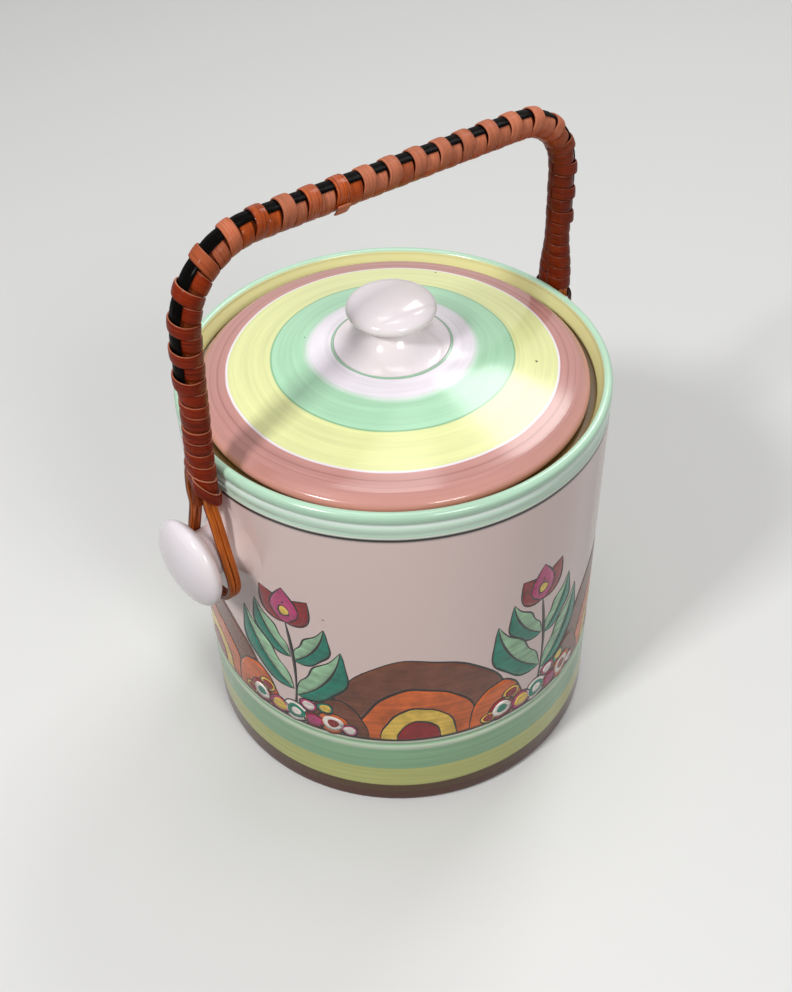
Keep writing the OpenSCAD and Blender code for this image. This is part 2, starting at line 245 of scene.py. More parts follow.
def piece_from(name, shells):
    """One object from a list of shells (grid of points in metres, {attribute: grid of values}).
    A square with a repeated corner becomes a triangle, or goes if it has no area."""
    all_points, all_squares, all_values, count = [], [], [], 0
    for grid, values in shells:
        rows, columns = grid.shape[:2]
        points, squares, values = weld(grid.reshape(-1, 3), grid_squares(rows, columns), {
            k: np.broadcast_to(v, (rows, columns, 3)).reshape(-1, 3) for k, v in values.items()})
        if enclosed_volume(points, squares) < 0:
            squares = squares[:, ::-1]
        all_points.append(points)
        all_squares.append(squares + count)
        all_values.append(values)
        count += len(points)
    points, squares = np.concatenate(all_points), np.concatenate(all_squares)
    kept = squares != np.roll(squares, 1, axis=1)
    sizes = kept.sum(1)
    real = sizes > 2
    corners, sizes = squares[real][kept[real]], sizes[real]

    mesh = bpy.data.meshes.new(name)
    mesh.vertices.add(len(points))
    mesh.vertices.foreach_set("co", points.ravel())
    mesh.loops.add(len(corners))
    mesh.loops.foreach_set("vertex_index", corners.astype(np.int32))
    mesh.polygons.add(len(sizes))
    mesh.polygons.foreach_set("loop_start", (np.cumsum(sizes) - sizes).astype(np.int32))
    mesh.polygons.foreach_set("use_smooth", np.ones(len(sizes), bool))
    mesh.update(calc_edges=True)
    for key in all_values[0]:
        layer = mesh.attributes.new(key, "FLOAT_VECTOR", "POINT")
        layer.data.foreach_set("vector", np.concatenate([v[key] for v in all_values]).ravel())
    mesh.validate()
    piece = bpy.data.objects.new(name, mesh)
    bpy.context.collection.objects.link(piece)
    print(f"{name}: {len(points)} points, {len(sizes)} faces")
    return piece


# %% Curves and sections
def together(*parts):
    """Arrays of matching shapes as the parts of points: [x, y] or [x, y, z]."""
    return np.stack(np.broadcast_arrays(*parts), -1)


def arc(centre, radius, start, stop, steps=14):
    """Points [across, up] of a round arc, with its angles in degrees."""
    angle = np.radians(np.linspace(start, stop, steps + 1))
    return together(centre[0] + radius * np.cos(angle), centre[1] + radius * np.sin(angle))


def run(start, stop, steps):
    """Evenly spaced points of a straight run, without its last point."""
    t = np.arange(steps)[:, None] / steps
    return np.array(start) + t * (np.array(stop) - np.array(start))


def fillet(start, corner, stop, steps=8):
    """A curve from start to stop that is pulled towards the corner between them."""
    t = np.linspace(0, 1, steps + 1)[1:, None]
    return (1 - t) ** 2 * start + 2 * t * (1 - t) * corner + t ** 2 * stop


def full_circle(steps):
    """Evenly spaced angles of a full circle, without its last one."""
    return np.arange(steps) / steps * 2 * np.pi


def revolve(profile, steps=224):
    """Carries a profile [radius, height] round the Z axis: row i is profile point i, and column j
    stands j / steps of a turn further on."""
    angle, radius = full_circle(steps), profile[:, :1]
    return together(radius * np.cos(angle), radius * np.sin(angle), profile[:, 1:])


def soft_step(x, start, stop):
    """Goes smoothly from 0 at start to 1 at stop."""
    t = np.clip((x - start) / (stop - start), 0, 1)
    return t * t * (3 - 2 * t)


# %% [markdown]
# ## The jar
# A slip-cast pot is a solid of revolution, so half of its outline is drawn once and carried
# round. The outline has what the light finds on the real one: a round groove between two low
# ridges above the foot and under the lip, a rounded lip, and the seat on which the lid rests.
# The wall wavers by a few hundredths of a millimetre, as cast clay does.

# %% Jar body
JAR_R, JAR_H, WALL_R = 66.0, 132.0, 65.84
FOOT_W, FOOT_RECESS, FOOT_ROUND = 7.5, 1.5, 1.8
BASE_T, INNER_R, FLOOR_ROUND = 6.0, 61.5, 5.0
SEAT_Z, SEAT_R, SEAT_T, MOUTH_R, MOUTH_ROUND = 126.0, 61.0, 4.0, 55.5, 0.8
LIP_ROUND, LIP_IN_R, LIP_IN_ROUND = 1.6, 63.0, 1.2

# Each ridge or groove of the wall: its height on the jar, how far it stands out, and its width
WALL_RELIEF = np.array([[29.7, 0.14, 0.7], [31.2, -0.35, 0.8], [32.6, 0.10, 0.6],
                        [124.9, -0.16, 0.8], [126.6, 0.12, 0.8], [128.4, -0.36, 0.9]])


def wall_relief(height):
    """How far the wall stands out at a height: a sum of bell curves, one for each ridge."""
    place, depth, width = WALL_RELIEF.T
    return (depth * np.exp(-((np.asarray(height)[..., None] - place) / width) ** 2)).sum(-1)


def waver(angle, height):
    """The clay's slow unevenness round the wall, from 0 to 0.07 mm inwards."""
    return 0.02 * np.sin(2 * angle + 0.6) + 0.015 * np.sin(3 * angle + height / 35) - 0.035


def jar_profile():
    """The closed outline of the jar's wall and base, from the middle of the base and back."""
    wall_z = np.concatenate([np.linspace(FOOT_ROUND, 28, 16), np.linspace(28.3, 34, 24),
                             np.linspace(35.5, 121, 52), np.linspace(122, JAR_H - LIP_ROUND, 42)])
    foot_in, under_seat = JAR_R - FOOT_W, SEAT_Z - SEAT_T
    shoulder = [INNER_R, under_seat - INNER_R + MOUTH_R]
    return np.concatenate([
        run([0, FOOT_RECESS], [foot_in - FOOT_RECESS, FOOT_RECESS], 8),
        arc([foot_in - FOOT_RECESS, 2 * FOOT_RECESS], FOOT_RECESS, -90, -40, 5),
        arc([foot_in + 1.0, 0.7], 0.7, 200, 270, 5),
        arc([WALL_R - FOOT_ROUND, FOOT_ROUND], FOOT_ROUND, -90, -6, 10),
        together(WALL_R + wall_relief(wall_z), wall_z),
        arc([WALL_R - LIP_ROUND, JAR_H - LIP_ROUND], LIP_ROUND, 8, 90),
        arc([LIP_IN_R + LIP_IN_ROUND, JAR_H - LIP_IN_ROUND], LIP_IN_ROUND, 90, 180, 10),
        run([LIP_IN_R - 0.02, JAR_H - LIP_IN_ROUND - 0.3], [SEAT_R + 0.4, SEAT_Z + 0.6], 8),
        arc([SEAT_R, SEAT_Z + 0.5], 0.5, 20, -90, 6),
        run([SEAT_R - 0.5, SEAT_Z], [MOUTH_R + MOUTH_ROUND, SEAT_Z], 6),
        arc([MOUTH_R + MOUTH_ROUND, SEAT_Z - MOUTH_ROUND], MOUTH_ROUND, 90, 180, 6),
        run([MOUTH_R, SEAT_Z - 1.0], [MOUTH_R, under_seat], 3),
        run([MOUTH_R, under_seat], shoulder, 4),
        run(shoulder, [INNER_R, BASE_T + FLOOR_ROUND], 20),
        arc([INNER_R - FLOOR_ROUND, BASE_T + FLOOR_ROUND], FLOOR_ROUND, 0, -90, 8),
        run([INNER_R - FLOOR_ROUND - 1, BASE_T], [0, BASE_T], 8), [[0, BASE_T]]])


def jar_surface():
    """The outline carried round, with the clay's waver added to every radius."""
    x, y, z = np.moveaxis(revolve(jar_profile()), -1, 0)
    grow = 1 + waver(np.arctan2(y, x), z) / JAR_R * (np.hypot(x, y) > 1)
    return together(x * grow, y * grow, z) * MM


jar = piece_from("glazed_jar", [(jar_surface(), {})])

# %% [markdown]
# ## The lid and its knob
# The lid is a shallow cone with a rolled edge. Just inside the roll runs a faint valley, which
# makes the edge look like a bead. The knob is a mushroom whose foot runs out on the cone. Both
# are round, so each is one outline carried round its axis, without a seam between its parts.

# %% Lid and knob
LID_SLOPE, PEAK_Z, LID_T = np.radians(12.9), 144.9, 4.8
LID_Z, LID_R, LID_EDGE_R = 126.1, 59.3, 2.0
VALLEY_R, VALLEY_DEPTH, VALLEY_W = 56.4, 0.16, 0.8
FLANGE_R, FLANGE_T, FLANGE_DEPTH = 54.8, 4.0, 9.0
KNOB_R, KNOB_HALF_T, KNOB_Z = 13.3, 4.3, 152.8
KNOB_NECK_R, KNOB_FOOT_R, KNOB_HOLLOW_R = 7.7, 17.5, 14.0


def cone_z(radius):
    """Height of the lid's cone at a radius, less the faint valley inside the rolled edge."""
    return (PEAK_Z - np.tan(LID_SLOPE) * radius
            - VALLEY_DEPTH * np.exp(-((radius - VALLEY_R) / VALLEY_W) ** 2))


def lid_profile():
    """The lid's outline, from the point of its underside round the edge to its peak."""
    top_r = np.concatenate([np.linspace(LID_R - 1.4 * LID_EDGE_R, 50, 16),
                            np.linspace(49, 0, 36)])
    inner, flange_z = FLANGE_R - FLANGE_T, LID_Z - FLANGE_DEPTH
    under_z = PEAK_Z - np.tan(LID_SLOPE) * inner - LID_T
    return np.concatenate([
        run([0, PEAK_Z - LID_T], [inner - 1, under_z], 16),
        arc([inner - 1, under_z - 1], 1, 90, 0, 5),
        run([inner, under_z - 1.3], [inner, flange_z + 0.6], 6),
        arc([inner + 0.6, flange_z + 0.6], 0.6, 180, 270, 5),
        arc([FLANGE_R - 0.8, flange_z + 0.8], 0.8, 270, 360, 6),
        run([FLANGE_R, flange_z + 1], [FLANGE_R, LID_Z - 0.4], 6),
        arc([FLANGE_R + 0.4, LID_Z - 0.4], 0.4, 180, 90, 4),
        arc([LID_R - LID_EDGE_R, LID_Z + LID_EDGE_R], LID_EDGE_R, -90, 70, 22),
        together(top_r, cone_z(top_r))])


def cap_arc(neck_r, cap_r, half_t, middle, steps=40):
    """The oval half outline of a mushroom cap, from where it leaves the neck to its top."""
    angle = np.linspace(-np.arccos(neck_r / cap_r), np.pi / 2, steps + 1)
    return together(cap_r * np.cos(angle), middle + half_t * np.sin(angle))


def knob_profile():
    """The knob's outline: a hollow that leaves the cone without a kink, then the cap."""
    hollow = (np.array([KNOB_FOOT_R, cone_z(KNOB_FOOT_R)])
              + KNOB_HOLLOW_R * np.array([np.sin(LID_SLOPE), np.cos(LID_SLOPE)]))
    turn = 180 + np.degrees(np.arccos((hollow[0] - KNOB_NECK_R) / KNOB_HOLLOW_R))
    neck = arc(hollow, KNOB_HOLLOW_R, 270 - np.degrees(LID_SLOPE), turn, 30) + [0, 0.03]
    cap = cap_arc(KNOB_NECK_R, KNOB_R, KNOB_HALF_T, KNOB_Z)
    return np.concatenate([
        run([0, PEAK_Z - 2], [KNOB_FOOT_R - 1, cone_z(KNOB_FOOT_R) - 0.6], 6), neck[:-5],
        fillet(neck[-6], neck[-1], cap[2]), cap[3:]])


lid = piece_from("glazed_lid", [(revolve(lid_profile()) * MM, {})])
knob = piece_from("lid_knob_glazed", [(revolve(knob_profile(), 120) * MM, {})])

# %% [markdown]
# ## The lugs
# A potter sticks a lug to the wall with slip and smooths it out, so its foot hugs the round
# wall. Here the foot's height is counted from the wall itself, and the count passes over to the
# lug's own axis on the way up the neck. A plain turned solid pushed into the wall would meet it
# in a hard line.

# %% Lugs
LUG_Z, LUG_REACH, LUG_CAP_R, LUG_HALF_T = 101.8, 78.8, 14.0, 5.0
LUG_NECK_R, LUG_FLARE_R, LUG_FLARE_H = 7.2, 16.6, 4.6


def lug_surface(side):
    """Rows go from the middle of the back over the flare and the neck to the top of the cap.
    Over the flare, height above the wall is H * (1 - sqrt(1 - (1 - t)^2)), with t from 1 at its
    outer edge to 0 at the neck."""
    t = np.linspace(1, 0, 26) ** 1.5
    flare_r = LUG_NECK_R + (LUG_FLARE_R - LUG_NECK_R) * t
    flare_h = LUG_FLARE_H * (1 - np.sqrt(np.clip(1 - (1 - t) ** 2, 0, 1)))
    cap = cap_arc(LUG_NECK_R, LUG_CAP_R, LUG_HALF_T, LUG_REACH)
    neck = np.array([[LUG_NECK_R, JAR_R + LUG_FLARE_H + rise] for rise in (0.8, 1.6)])
    under_cap = fillet(neck[1], np.array([LUG_NECK_R, cap[0, 1] - 0.2]), cap[4])
    upper = np.concatenate([neck, under_cap, cap[5:]])
    radius = np.concatenate([[0, LUG_FLARE_R - 0.5], flare_r, upper[:, 0]])[:, None]
    reach = np.concatenate([[-1.5, -1.2], flare_h - 0.12 * t, upper[:, 1] - JAR_R])[:, None]
    follows_wall = 1 - soft_step(reach, 1.0, 6.0)
    angle = full_circle(96)
    y = radius * np.cos(angle)
    x = np.sqrt(WALL_R ** 2 - y ** 2) * follows_wall + JAR_R * (1 - follows_wall) + reach
    return together(side * x, y, LUG_Z + radius * np.sin(angle)) * MM


left_lug = piece_from("lug_glazed_left", [(lug_surface(-1), {})])
right_lug = piece_from("lug_glazed_right", [(lug_surface(1), {})])

# %% [markdown]
# ## The bail's middle line
# Everything on the handle follows one line in the plane of the two lugs: up the left leg, round
# a bend, along the bar, round the other bend and down the right leg. The direction that points
# out of the bail turns only in the bends, so its angle is a broken line over the length, and the
# point is the sum of small steps square to that direction. A drawn curve could serve as well,
# but here the bends keep their true radius and every length along the cane is known.

# %% The bail's middle line
LEG_X, LEAN_Z, BAR_H = 70.4, 28.6, 93.4
LEFT_LEAN, RIGHT_LEAN, BAR_SLOPE = np.radians([3.0, 0.9, 4.3])
LEFT_BEND_R, RIGHT_BEND_R = 21.6, 21.0
WRAP_FROM = 20.3
LINE_STEP, LINE_SPARE = 0.05, 30
EASE = 60  # half the number of steps over which a bend begins

bar_out = np.array([np.sin(BAR_SLOPE), np.cos(BAR_SLOPE)])


def leg_top(side, lean, bend_r):
    """Length along a leg from the lug axis to its bend: the bend's middle lies at the bend's
    radius from both the leg and the bar."""
    up = np.array([-side * np.sin(lean), np.cos(lean)])
    start = np.array([side * LEG_X, LEAN_Z]) + bend_r * np.array([-side * up[1], side * up[0]])
    along = (bar_out @ (np.array([0, BAR_H]) - start) - bend_r) / (bar_out @ up)
    return LEAN_Z + along, start + along * up


left_top, left_mid = leg_top(-1, LEFT_LEAN, LEFT_BEND_R)
right_top, right_mid = leg_top(1, RIGHT_LEAN, RIGHT_BEND_R)
bar_len = np.linalg.norm(right_mid - left_mid + (RIGHT_BEND_R - LEFT_BEND_R) * bar_out)
lengths = np.array([left_top - WRAP_FROM, LEFT_BEND_R * (np.pi / 2 + BAR_SLOPE - LEFT_LEAN),
                    bar_len, RIGHT_BEND_R * (np.pi / 2 - BAR_SLOPE - RIGHT_LEAN),
                    right_top - WRAP_FROM])
knots = np.concatenate([[0], np.cumsum(lengths)])
BAIL_LEN = knots[-1]

line_s = np.arange(-LINE_SPARE, BAIL_LEN + LINE_SPARE, LINE_STEP)
line_angle = np.interp(line_s, knots[1:5], [np.pi - LEFT_LEAN, np.pi / 2 - BAR_SLOPE,
                                            np.pi / 2 - BAR_SLOPE, RIGHT_LEAN])
line_angle = np.convolve(np.pad(line_angle, EASE, mode="edge"), np.ones(2 * EASE + 1)
                         / (2 * EASE + 1), mode="valid")
line_curve = -np.gradient(line_angle, LINE_STEP)
line_point = np.cumsum(LINE_STEP * together(np.sin(line_angle), -np.cos(line_angle)), axis=0)
foot = np.array([-LEG_X, LEAN_Z]) - (LEAN_Z - WRAP_FROM) * np.array([np.sin(LEFT_LEAN),
                                                                    np.cos(LEFT_LEAN)])
line_point += foot - line_point[np.searchsorted(line_s, 0)]


def on_bail(s, around, radius, aside=0.0):
    """Points at length s along the bail, at a radius in the direction that is turned by around
    from outwards towards +Y, and shifted aside along Y."""
    angle, out = np.interp(s, line_s, line_angle), radius * np.cos(around)
    x = np.interp(s, line_s, line_point[:, 0]) + out * np.cos(angle)
    h = np.interp(s, line_s, line_point[:, 1]) + out * np.sin(angle)
    return together(x, radius * np.sin(around) + aside, LUG_Z + h) * MM


print("bail length:", round(BAIL_LEN, 1), "mm; lengths:", np.round(lengths, 1).tolist())

# %% [markdown]
# ## The binding
# One flat strip of cane is wound round the core from end to end. Every second turn passes over a
# black strip that lies along the outside. A turn is a small section carried once round the
# bail while it moves on by its own width, so the turns lean as on the real one. A hand winds
# unevenly, so the turns start at measured lengths, and each has its own breadth and height. A
# picture of turns on a smooth tube would be less work, but its outline would be straight.
#
# Each point of the cane has two attributes for its finish. The strand tells the length along the
# strip, the place across it from -1 to 1, and the strip's own tone. The finish tells the wear,
# the side of the upper edge, which is 1 on the left leg and -1 on the right one, and 1 on the bar
# against 0 on the legs. The side of the upper edge places a painted highlight on the legs' turns
# and picks the right leg's painted shade; the legs' darker colour is partly painted shade.

# %% Where the turns lie
CORE_R, BINDER_T, OVER_T, STRIP_T, GAP = 3.2, 0.75, 0.66, 0.30, 0.03
STRIP_ANGLE = np.radians(36)
SPLIT_R, LEFT_SPREAD, RIGHT_SPREAD = 0.95, 2.55, 3.6
STEPS_ROUND, SECTION_POINTS = 44, 16
TAIL_HIDE = (31.0, 37.5)  # where the binding narrows above the tails of the loops
PLAIN_LEFT, PLAIN_RIGHT = 9, 7
LEFT_EDGES = [0, 4.1, 8.6, 12.8, 16.9, 20.9, 24.7, 29.5, 33.2, 37.3, 41.5, 46.1, 50.1, 54.5,
              58.4, 62.7, 66.5]
OVER_MIDDLES = np.array([73.1, 81.7, 89.8, 98.1, 106.4, 115.6, 124.7, 133.5, 142.6, 152.0, 160.7,
                         170.0, 179.4, 188.4, 198.0, 206.5, 215.0, 223.5, 232.0])
chance = np.random.default_rng(7)

over_half = 2.05 + 0.2 * soft_step(OVER_MIDDLES, 75, 120) * (1 - soft_step(OVER_MIDDLES, 182, 200))
over_edges = together(OVER_MIDDLES - over_half, OVER_MIDDLES + over_half).ravel()
right_edges = np.append(np.linspace(over_edges[-1], BAIL_LEN - 4, PLAIN_RIGHT + 1)[1:], BAIL_LEN)
edges = np.concatenate([LEFT_EDGES, over_edges, right_edges])
TURNS = len(edges) - 2
pitch = np.diff(edges)
strip_start, strip_end = edges[PLAIN_LEFT + 1] - 1, edges[TURNS - PLAIN_RIGHT]
print("turns:", TURNS, "mean width:", round(pitch.mean(), 2), "mm")

# %% Sections and closed ends
def rounded(wave, power):
    """A sine or cosine raised to a power with its sign kept, which squares an oval's sides."""
    return np.sign(wave) * np.abs(wave) ** power


def section(steps, width, thick, square=0.45):
    """A strip's section [across, up]: a rounded flat oval with a slight crown on top."""
    u = full_circle(steps)
    across, up = rounded(np.cos(u), square), rounded(np.sin(u), 0.5)
    crown = 0.10 * (1 - across ** 2) * (up > 0)
    return together(across * width / 2, (up + 1) / 2 * thick * (0.9 + crown))


def with_ends(values):
    """Values with the first and the last one twice, for the rows that close a piece's ends."""
    return np.concatenate([values[:1], values, values[-1:]])


def end_size(count):
    """A column of ones that is 0 at both ends, where a section shrinks to a point."""
    size = np.ones((count, 1))
    size[[0, -1]] = 0
    return size


def square_to(path):
    """At each point of a path in a plane, the unit vector to the left of its direction."""
    forward = np.gradient(path, axis=0)
    forward /= np.linalg.norm(forward, axis=1)[:, None] + 1e-9
    return together(-forward[:, 1], forward[:, 0])


# %% Turns of the binding
TURN_GAP, EDGE_LIFT = 0.16, 0.04
TAIL_ROOM, REAR_HIDE, RIGHT_LONGER = 0.25, (11.5, 16.5), 9
HELD_FROM, HELD_TO = (62, 74), (196, 212)  # lengths between which hands hold the bar
BAR_FROM, BAR_TO = (66, 90), (195, 215)  # where the legs' darker varnish and painted shade give way
OVER_FLAT, OVER_FOOT = np.radians([38, 112])  # where an over turn leaves the strip and lands
REACH_OF_LEAN, LEAN_OUT, LEAN_REAR = 17.0, 0.52, 0.36
# Single turns of the bar whose varnish has lasted, with the wear of each
WHOLE_TURNS = {20: 0.05, 21: 0.10, 22: 0.05, 25: 0.45, 27: 0.30, 28: 0.05, 32: 0.50}

tone = chance.uniform(0, 1, TURNS)
lift = chance.uniform(-0.10, 0.12, TURNS)
shift = chance.uniform(-0.10, 0.10, TURNS)
breadth = chance.uniform(0.95, 1.0, TURNS)

# Wear is 1 where the varnish has gone from a turn and 0 where it is whole.
wear = soft_step(edges[:TURNS], *HELD_FROM) * (1 - soft_step(edges[:TURNS], *HELD_TO))
wear = wear * chance.uniform(0.75, 1.0, TURNS) + 0.08
wear[list(WHOLE_TURNS)] = list(WHOLE_TURNS.values())


def side_room(s, number, rear):
    """Half the straight part of the binding's outline at length s, where it holds the tails. The
    rear tail of the left loop comes out above the lowest turn, so that turn lies close."""
    start, stop = TAIL_HIDE[0] - WRAP_FROM, TAIL_HIDE[1] - WRAP_FROM
    left, right = (spread + SPLIT_R - CORE_R + TAIL_ROOM for spread in (LEFT_SPREAD, RIGHT_SPREAD))
    front_left = left * (1 - soft_step(s, start, stop))
    rear_left = (number > 1) * (1 - soft_step(s, *REAR_HIDE))
    return (np.where(rear, rear_left, front_left)
            + right * (1 - soft_step(BAIL_LEN - s, start, stop + RIGHT_LONGER)))


def turn_surface(number, over):
    """One turn: the section carried from the inner side round to the inner side again. An over
    turn rises over the black strip, and its ends lie on the core like the others. The lowest
    turns of the left leg lean outwards and back, so their length grows with both."""
    around = with_ends(np.linspace(-np.pi, np.pi, STEPS_ROUND + 1))[:, None]
    outer_side = (1 + np.cos(around)) / 2
    passed = (around + np.pi) / (2 * np.pi)
    middle = np.interp(number + 0.5 + passed, np.arange(TURNS + 2), edges)
    rise = over * (STRIP_T + BINDER_T + GAP) * (1 - soft_step(np.abs(around), OVER_FLAT, OVER_FOOT))
    shape = section(SECTION_POINTS, breadth[number] * (pitch[number] - TURN_GAP),
                    OVER_T if over else BINDER_T)
    centre = shape.mean(0)
    shape = centre + (shape - centre) * end_size(len(around))[..., None]
    across, up = shape[..., 0], shape[..., 1]
    radius = (CORE_R + GAP + rise + up + lift[number] * outer_side ** 3 * over
              + EDGE_LIFT * across)
    stretch = 1 + np.interp(middle, line_s, line_curve) * radius * np.clip(np.cos(around), 0, 1)
    s = middle + shift[number] * outer_side + across / stretch
    aside = side_room(s, number, np.sin(around) > 0) * np.clip(3 * np.sin(around), -1, 1)
    lean = LEAN_OUT * radius * np.cos(around) + LEAN_REAR * (radius * np.sin(around) + aside)
    s = s + lean * (1 - soft_step(s, 0, REACH_OF_LEAN))
    strand = together((number + passed) * 8 * np.pi * MM, across / (pitch[number] / 2),
                      tone[number])
    on_bar = soft_step(middle, *BAR_FROM) * (1 - 0.8 * soft_step(middle, *BAR_TO))
    finish = together(wear[number] * soft_step(np.cos(around), -0.55, 0.25),
                      np.where(middle < BAIL_LEN / 2, 1.0, -1.0), on_bar + 0 * across)
    return on_bail(s, around, radius, aside), {"strand": strand, "finish": finish}


def turns_piece(name, numbers, over=False):
    """One object of all the turns with the given numbers."""
    return piece_from(name, [turn_surface(number, over) for number in numbers])


first_woven, last_woven = PLAIN_LEFT, TURNS - PLAIN_RIGHT
left_binding = turns_piece("cane_binding_left_leg", range(1, first_woven))
right_binding = turns_piece("cane_binding_right_leg", range(last_woven, TURNS - 1))
over_turns = turns_piece("cane_turns_over_strip", range(first_woven, last_woven, 2), True)
under_turns = turns_piece("cane_turns_under_strip", range(first_woven + 1, last_woven, 2))

# %% [markdown]
# ## The joined strip
# One strip is not long enough for the whole bail. Where a new one starts, the end of the old one
# sticks out below the bar as a short pale tongue. It has the section of the other turns, but its
# path leaves the round.

# %% Loose end of the first strip
LOOSE_TURN, LOOSE_LEN, LOOSE_WIDTH, LOOSE_THICK = 27, 1.2, 4.7, 0.5


def loose_end_surface():
    """A strip's section carried down the front of one over turn and then straight on. Its path
    [outwards, Y] leaves the round at 124 degrees and bends away a little."""
    angle = -np.radians(np.linspace(98, 124, 6))
    path = (CORE_R + BINDER_T + 0.42) * together(np.cos(angle), np.sin(angle))
    heading = np.array([np.sin(angle[-1]), -np.cos(angle[-1])])
    t = np.linspace(0.15, 1, 7)[:, None]
    path = np.concatenate([path, path[-1] + heading * LOOSE_LEN * t + [0, -0.5] * t ** 2])
    out, path = with_ends(square_to(path)), with_ends(path)
    size = end_size(len(path))
    size[-3:-1, 0] = 0.93, 0.72  # the tip narrows
    shape = section(12, LOOSE_WIDTH, LOOSE_THICK)
    across = shape[:, 0] * size
    up = (shape[:, 1] - LOOSE_THICK / 2) * size + LOOSE_THICK / 2
    y, x = (path[:, n, None] + up * out[:, n, None] for n in (1, 0))
    row = np.arange(len(path))[:, None]
    middle = edges[LOOSE_TURN] + 0.75 * pitch[LOOSE_TURN] - 0.05 * row
    return on_bail(middle + across, np.arctan2(y, x), np.hypot(x, y)), {
        "strand": together(row * 0.5 * MM, across / 2.3, 0.9), "finish": np.array([1.3, 0, 1.0])}


loose_end = piece_from("cane_loose_end", [loose_end_surface()])

# %% [markdown]
# ## The black strip
# It lies on the under turns and dips below the over turns, so it bulges a little in each gap.
# One long piece is enough, because the over turns hide where it passes below them.

# %% Black strip
STRIP_BULGE = 0.14


def strip_surface():
    """A curved flat section over the strip's angle, carried along the outside of the bail. It
    stands higher by the bulge in the middle of each under turn."""
    s = with_ends(np.arange(strip_start, strip_end, 0.55))[:, None]
    size = end_size(len(s))
    turn = np.interp(s, edges, np.arange(TURNS + 2))
    bulge = STRIP_BULGE * (0.5 - 0.5 * np.cos(np.pi * (turn - first_woven - 1)))
    u = full_circle(24)
    across = rounded(np.cos(u), 0.4) * size
    up = (rounded(np.sin(u), 0.5) + 1) / 2
    radius = CORE_R + BINDER_T + GAP + bulge + STRIP_T * (0.5 + (up - 0.5) * size) * 0.95
    return on_bail(s + 0 * across, STRIP_ANGLE * across, radius), {
        "strand": together(s * MM, across, 0.5), "finish": np.zeros(3)}


black_strip = piece_from("black_cane_strip", [strip_surface()])

# %% [markdown]
# ## The loops
# Two split canes lie side by side in each loop. Their tails are bound to the leg. Below the
# binding they spread, run down beside the lug's neck and pass under it. The centre line is a
# chain of straight runs and an arc. A moving average takes out its corners, as the stiff cane
# would. A simulated cord would sag, which split cane doesn't. The left loop's rear tail has
# slipped out of the lowest turns and lies on them.

# %% Loops
LOOP_R, LOOP_DROP, LOOP_LEAN, LOOP_STEP = 10.2, 6.3, np.radians(1.0), 0.4
SPLAY, SPLAY_Z, TAIL_BEND, TAIL_TOP = 1.65, 16.0, 19.5, 35.0
CANE_HALF_W, CANE_HALF_T, CANE_SWAY = 0.96, 0.84, 0.05
SIDES = {-1: (LEFT_LEAN, LEFT_SPREAD), 1: (RIGHT_LEAN, RIGHT_SPREAD)}
SLIPPED_TAIL = np.array([[2.55, TAIL_TOP], [2.7, 35.0], [3.5, 32.2], [4.3, 30.0], [4.9, 27.5],
                         [4.95, 24.0], [4.9, TAIL_BEND]])
SLIPPED_OUT, SLIPPED_KNEE, SLIPPED_FROM, SLIPPED_TO = 0.3, 0.45, (17, 22), (30, 34)


def from_leg(side, x, y, z):
    """Points given outwards, along Y and along the leg, as places on the jar: turned by the
    leg's lean about the point where the leg passes the rim."""
    tilt, x, z = -side * SIDES[side][0], side * x, z - LEAN_Z
    return together(side * LEG_X + x * np.cos(tilt) + z * np.sin(tilt), y,
                    LUG_Z + LEAN_Z - x * np.sin(tilt) + z * np.cos(tilt)) * MM


def half_loop(tail, knee):
    """From a tail's top down to the middle of the loop's round: the tail, a straight run that
    just touches the round, and a quarter of it."""
    middle = np.array([0, -LOOP_DROP])
    d = knee - middle
    touch = np.arctan2(d[1], d[0]) - np.arccos(LOOP_R / np.hypot(*d))
    touched = middle + LOOP_R * np.array([np.cos(touch), np.sin(touch)])
    return np.concatenate([*(run(a, b, 10) for a, b in zip(tail[:-1], tail[1:])),
                           run(tail[-1], knee, 10), run(knee, touched, 50),
                           arc(middle, LOOP_R, np.degrees(touch), -90, 60)])


def loop_line(side):
    """Centre line [Y, along the leg] of a loop, from the rear tail round to the front one."""
    spread = SIDES[side][1]
    knee = np.array([spread + SPLAY, SPLAY_Z])
    front = half_loop(np.array([[spread, TAIL_TOP], [spread, TAIL_BEND]]), knee)
    rear = half_loop(SLIPPED_TAIL, knee + [SLIPPED_KNEE, 0]) if side < 0 else front
    whole = np.concatenate([rear, front[-2::-1] * [-1, 1]])
    length = np.concatenate([[0], np.cumsum(np.hypot(*np.diff(whole, axis=0).T))])
    even = np.arange(0, length[-1], LOOP_STEP)
    line = together(*(np.interp(even, length, part) for part in whole.T))
    padded = np.pad(line, ((4, 4), (0, 0)), mode="reflect", reflect_type="odd")
    return together(*(np.convolve(part, np.ones(9) / 9, mode="valid") for part in padded.T))


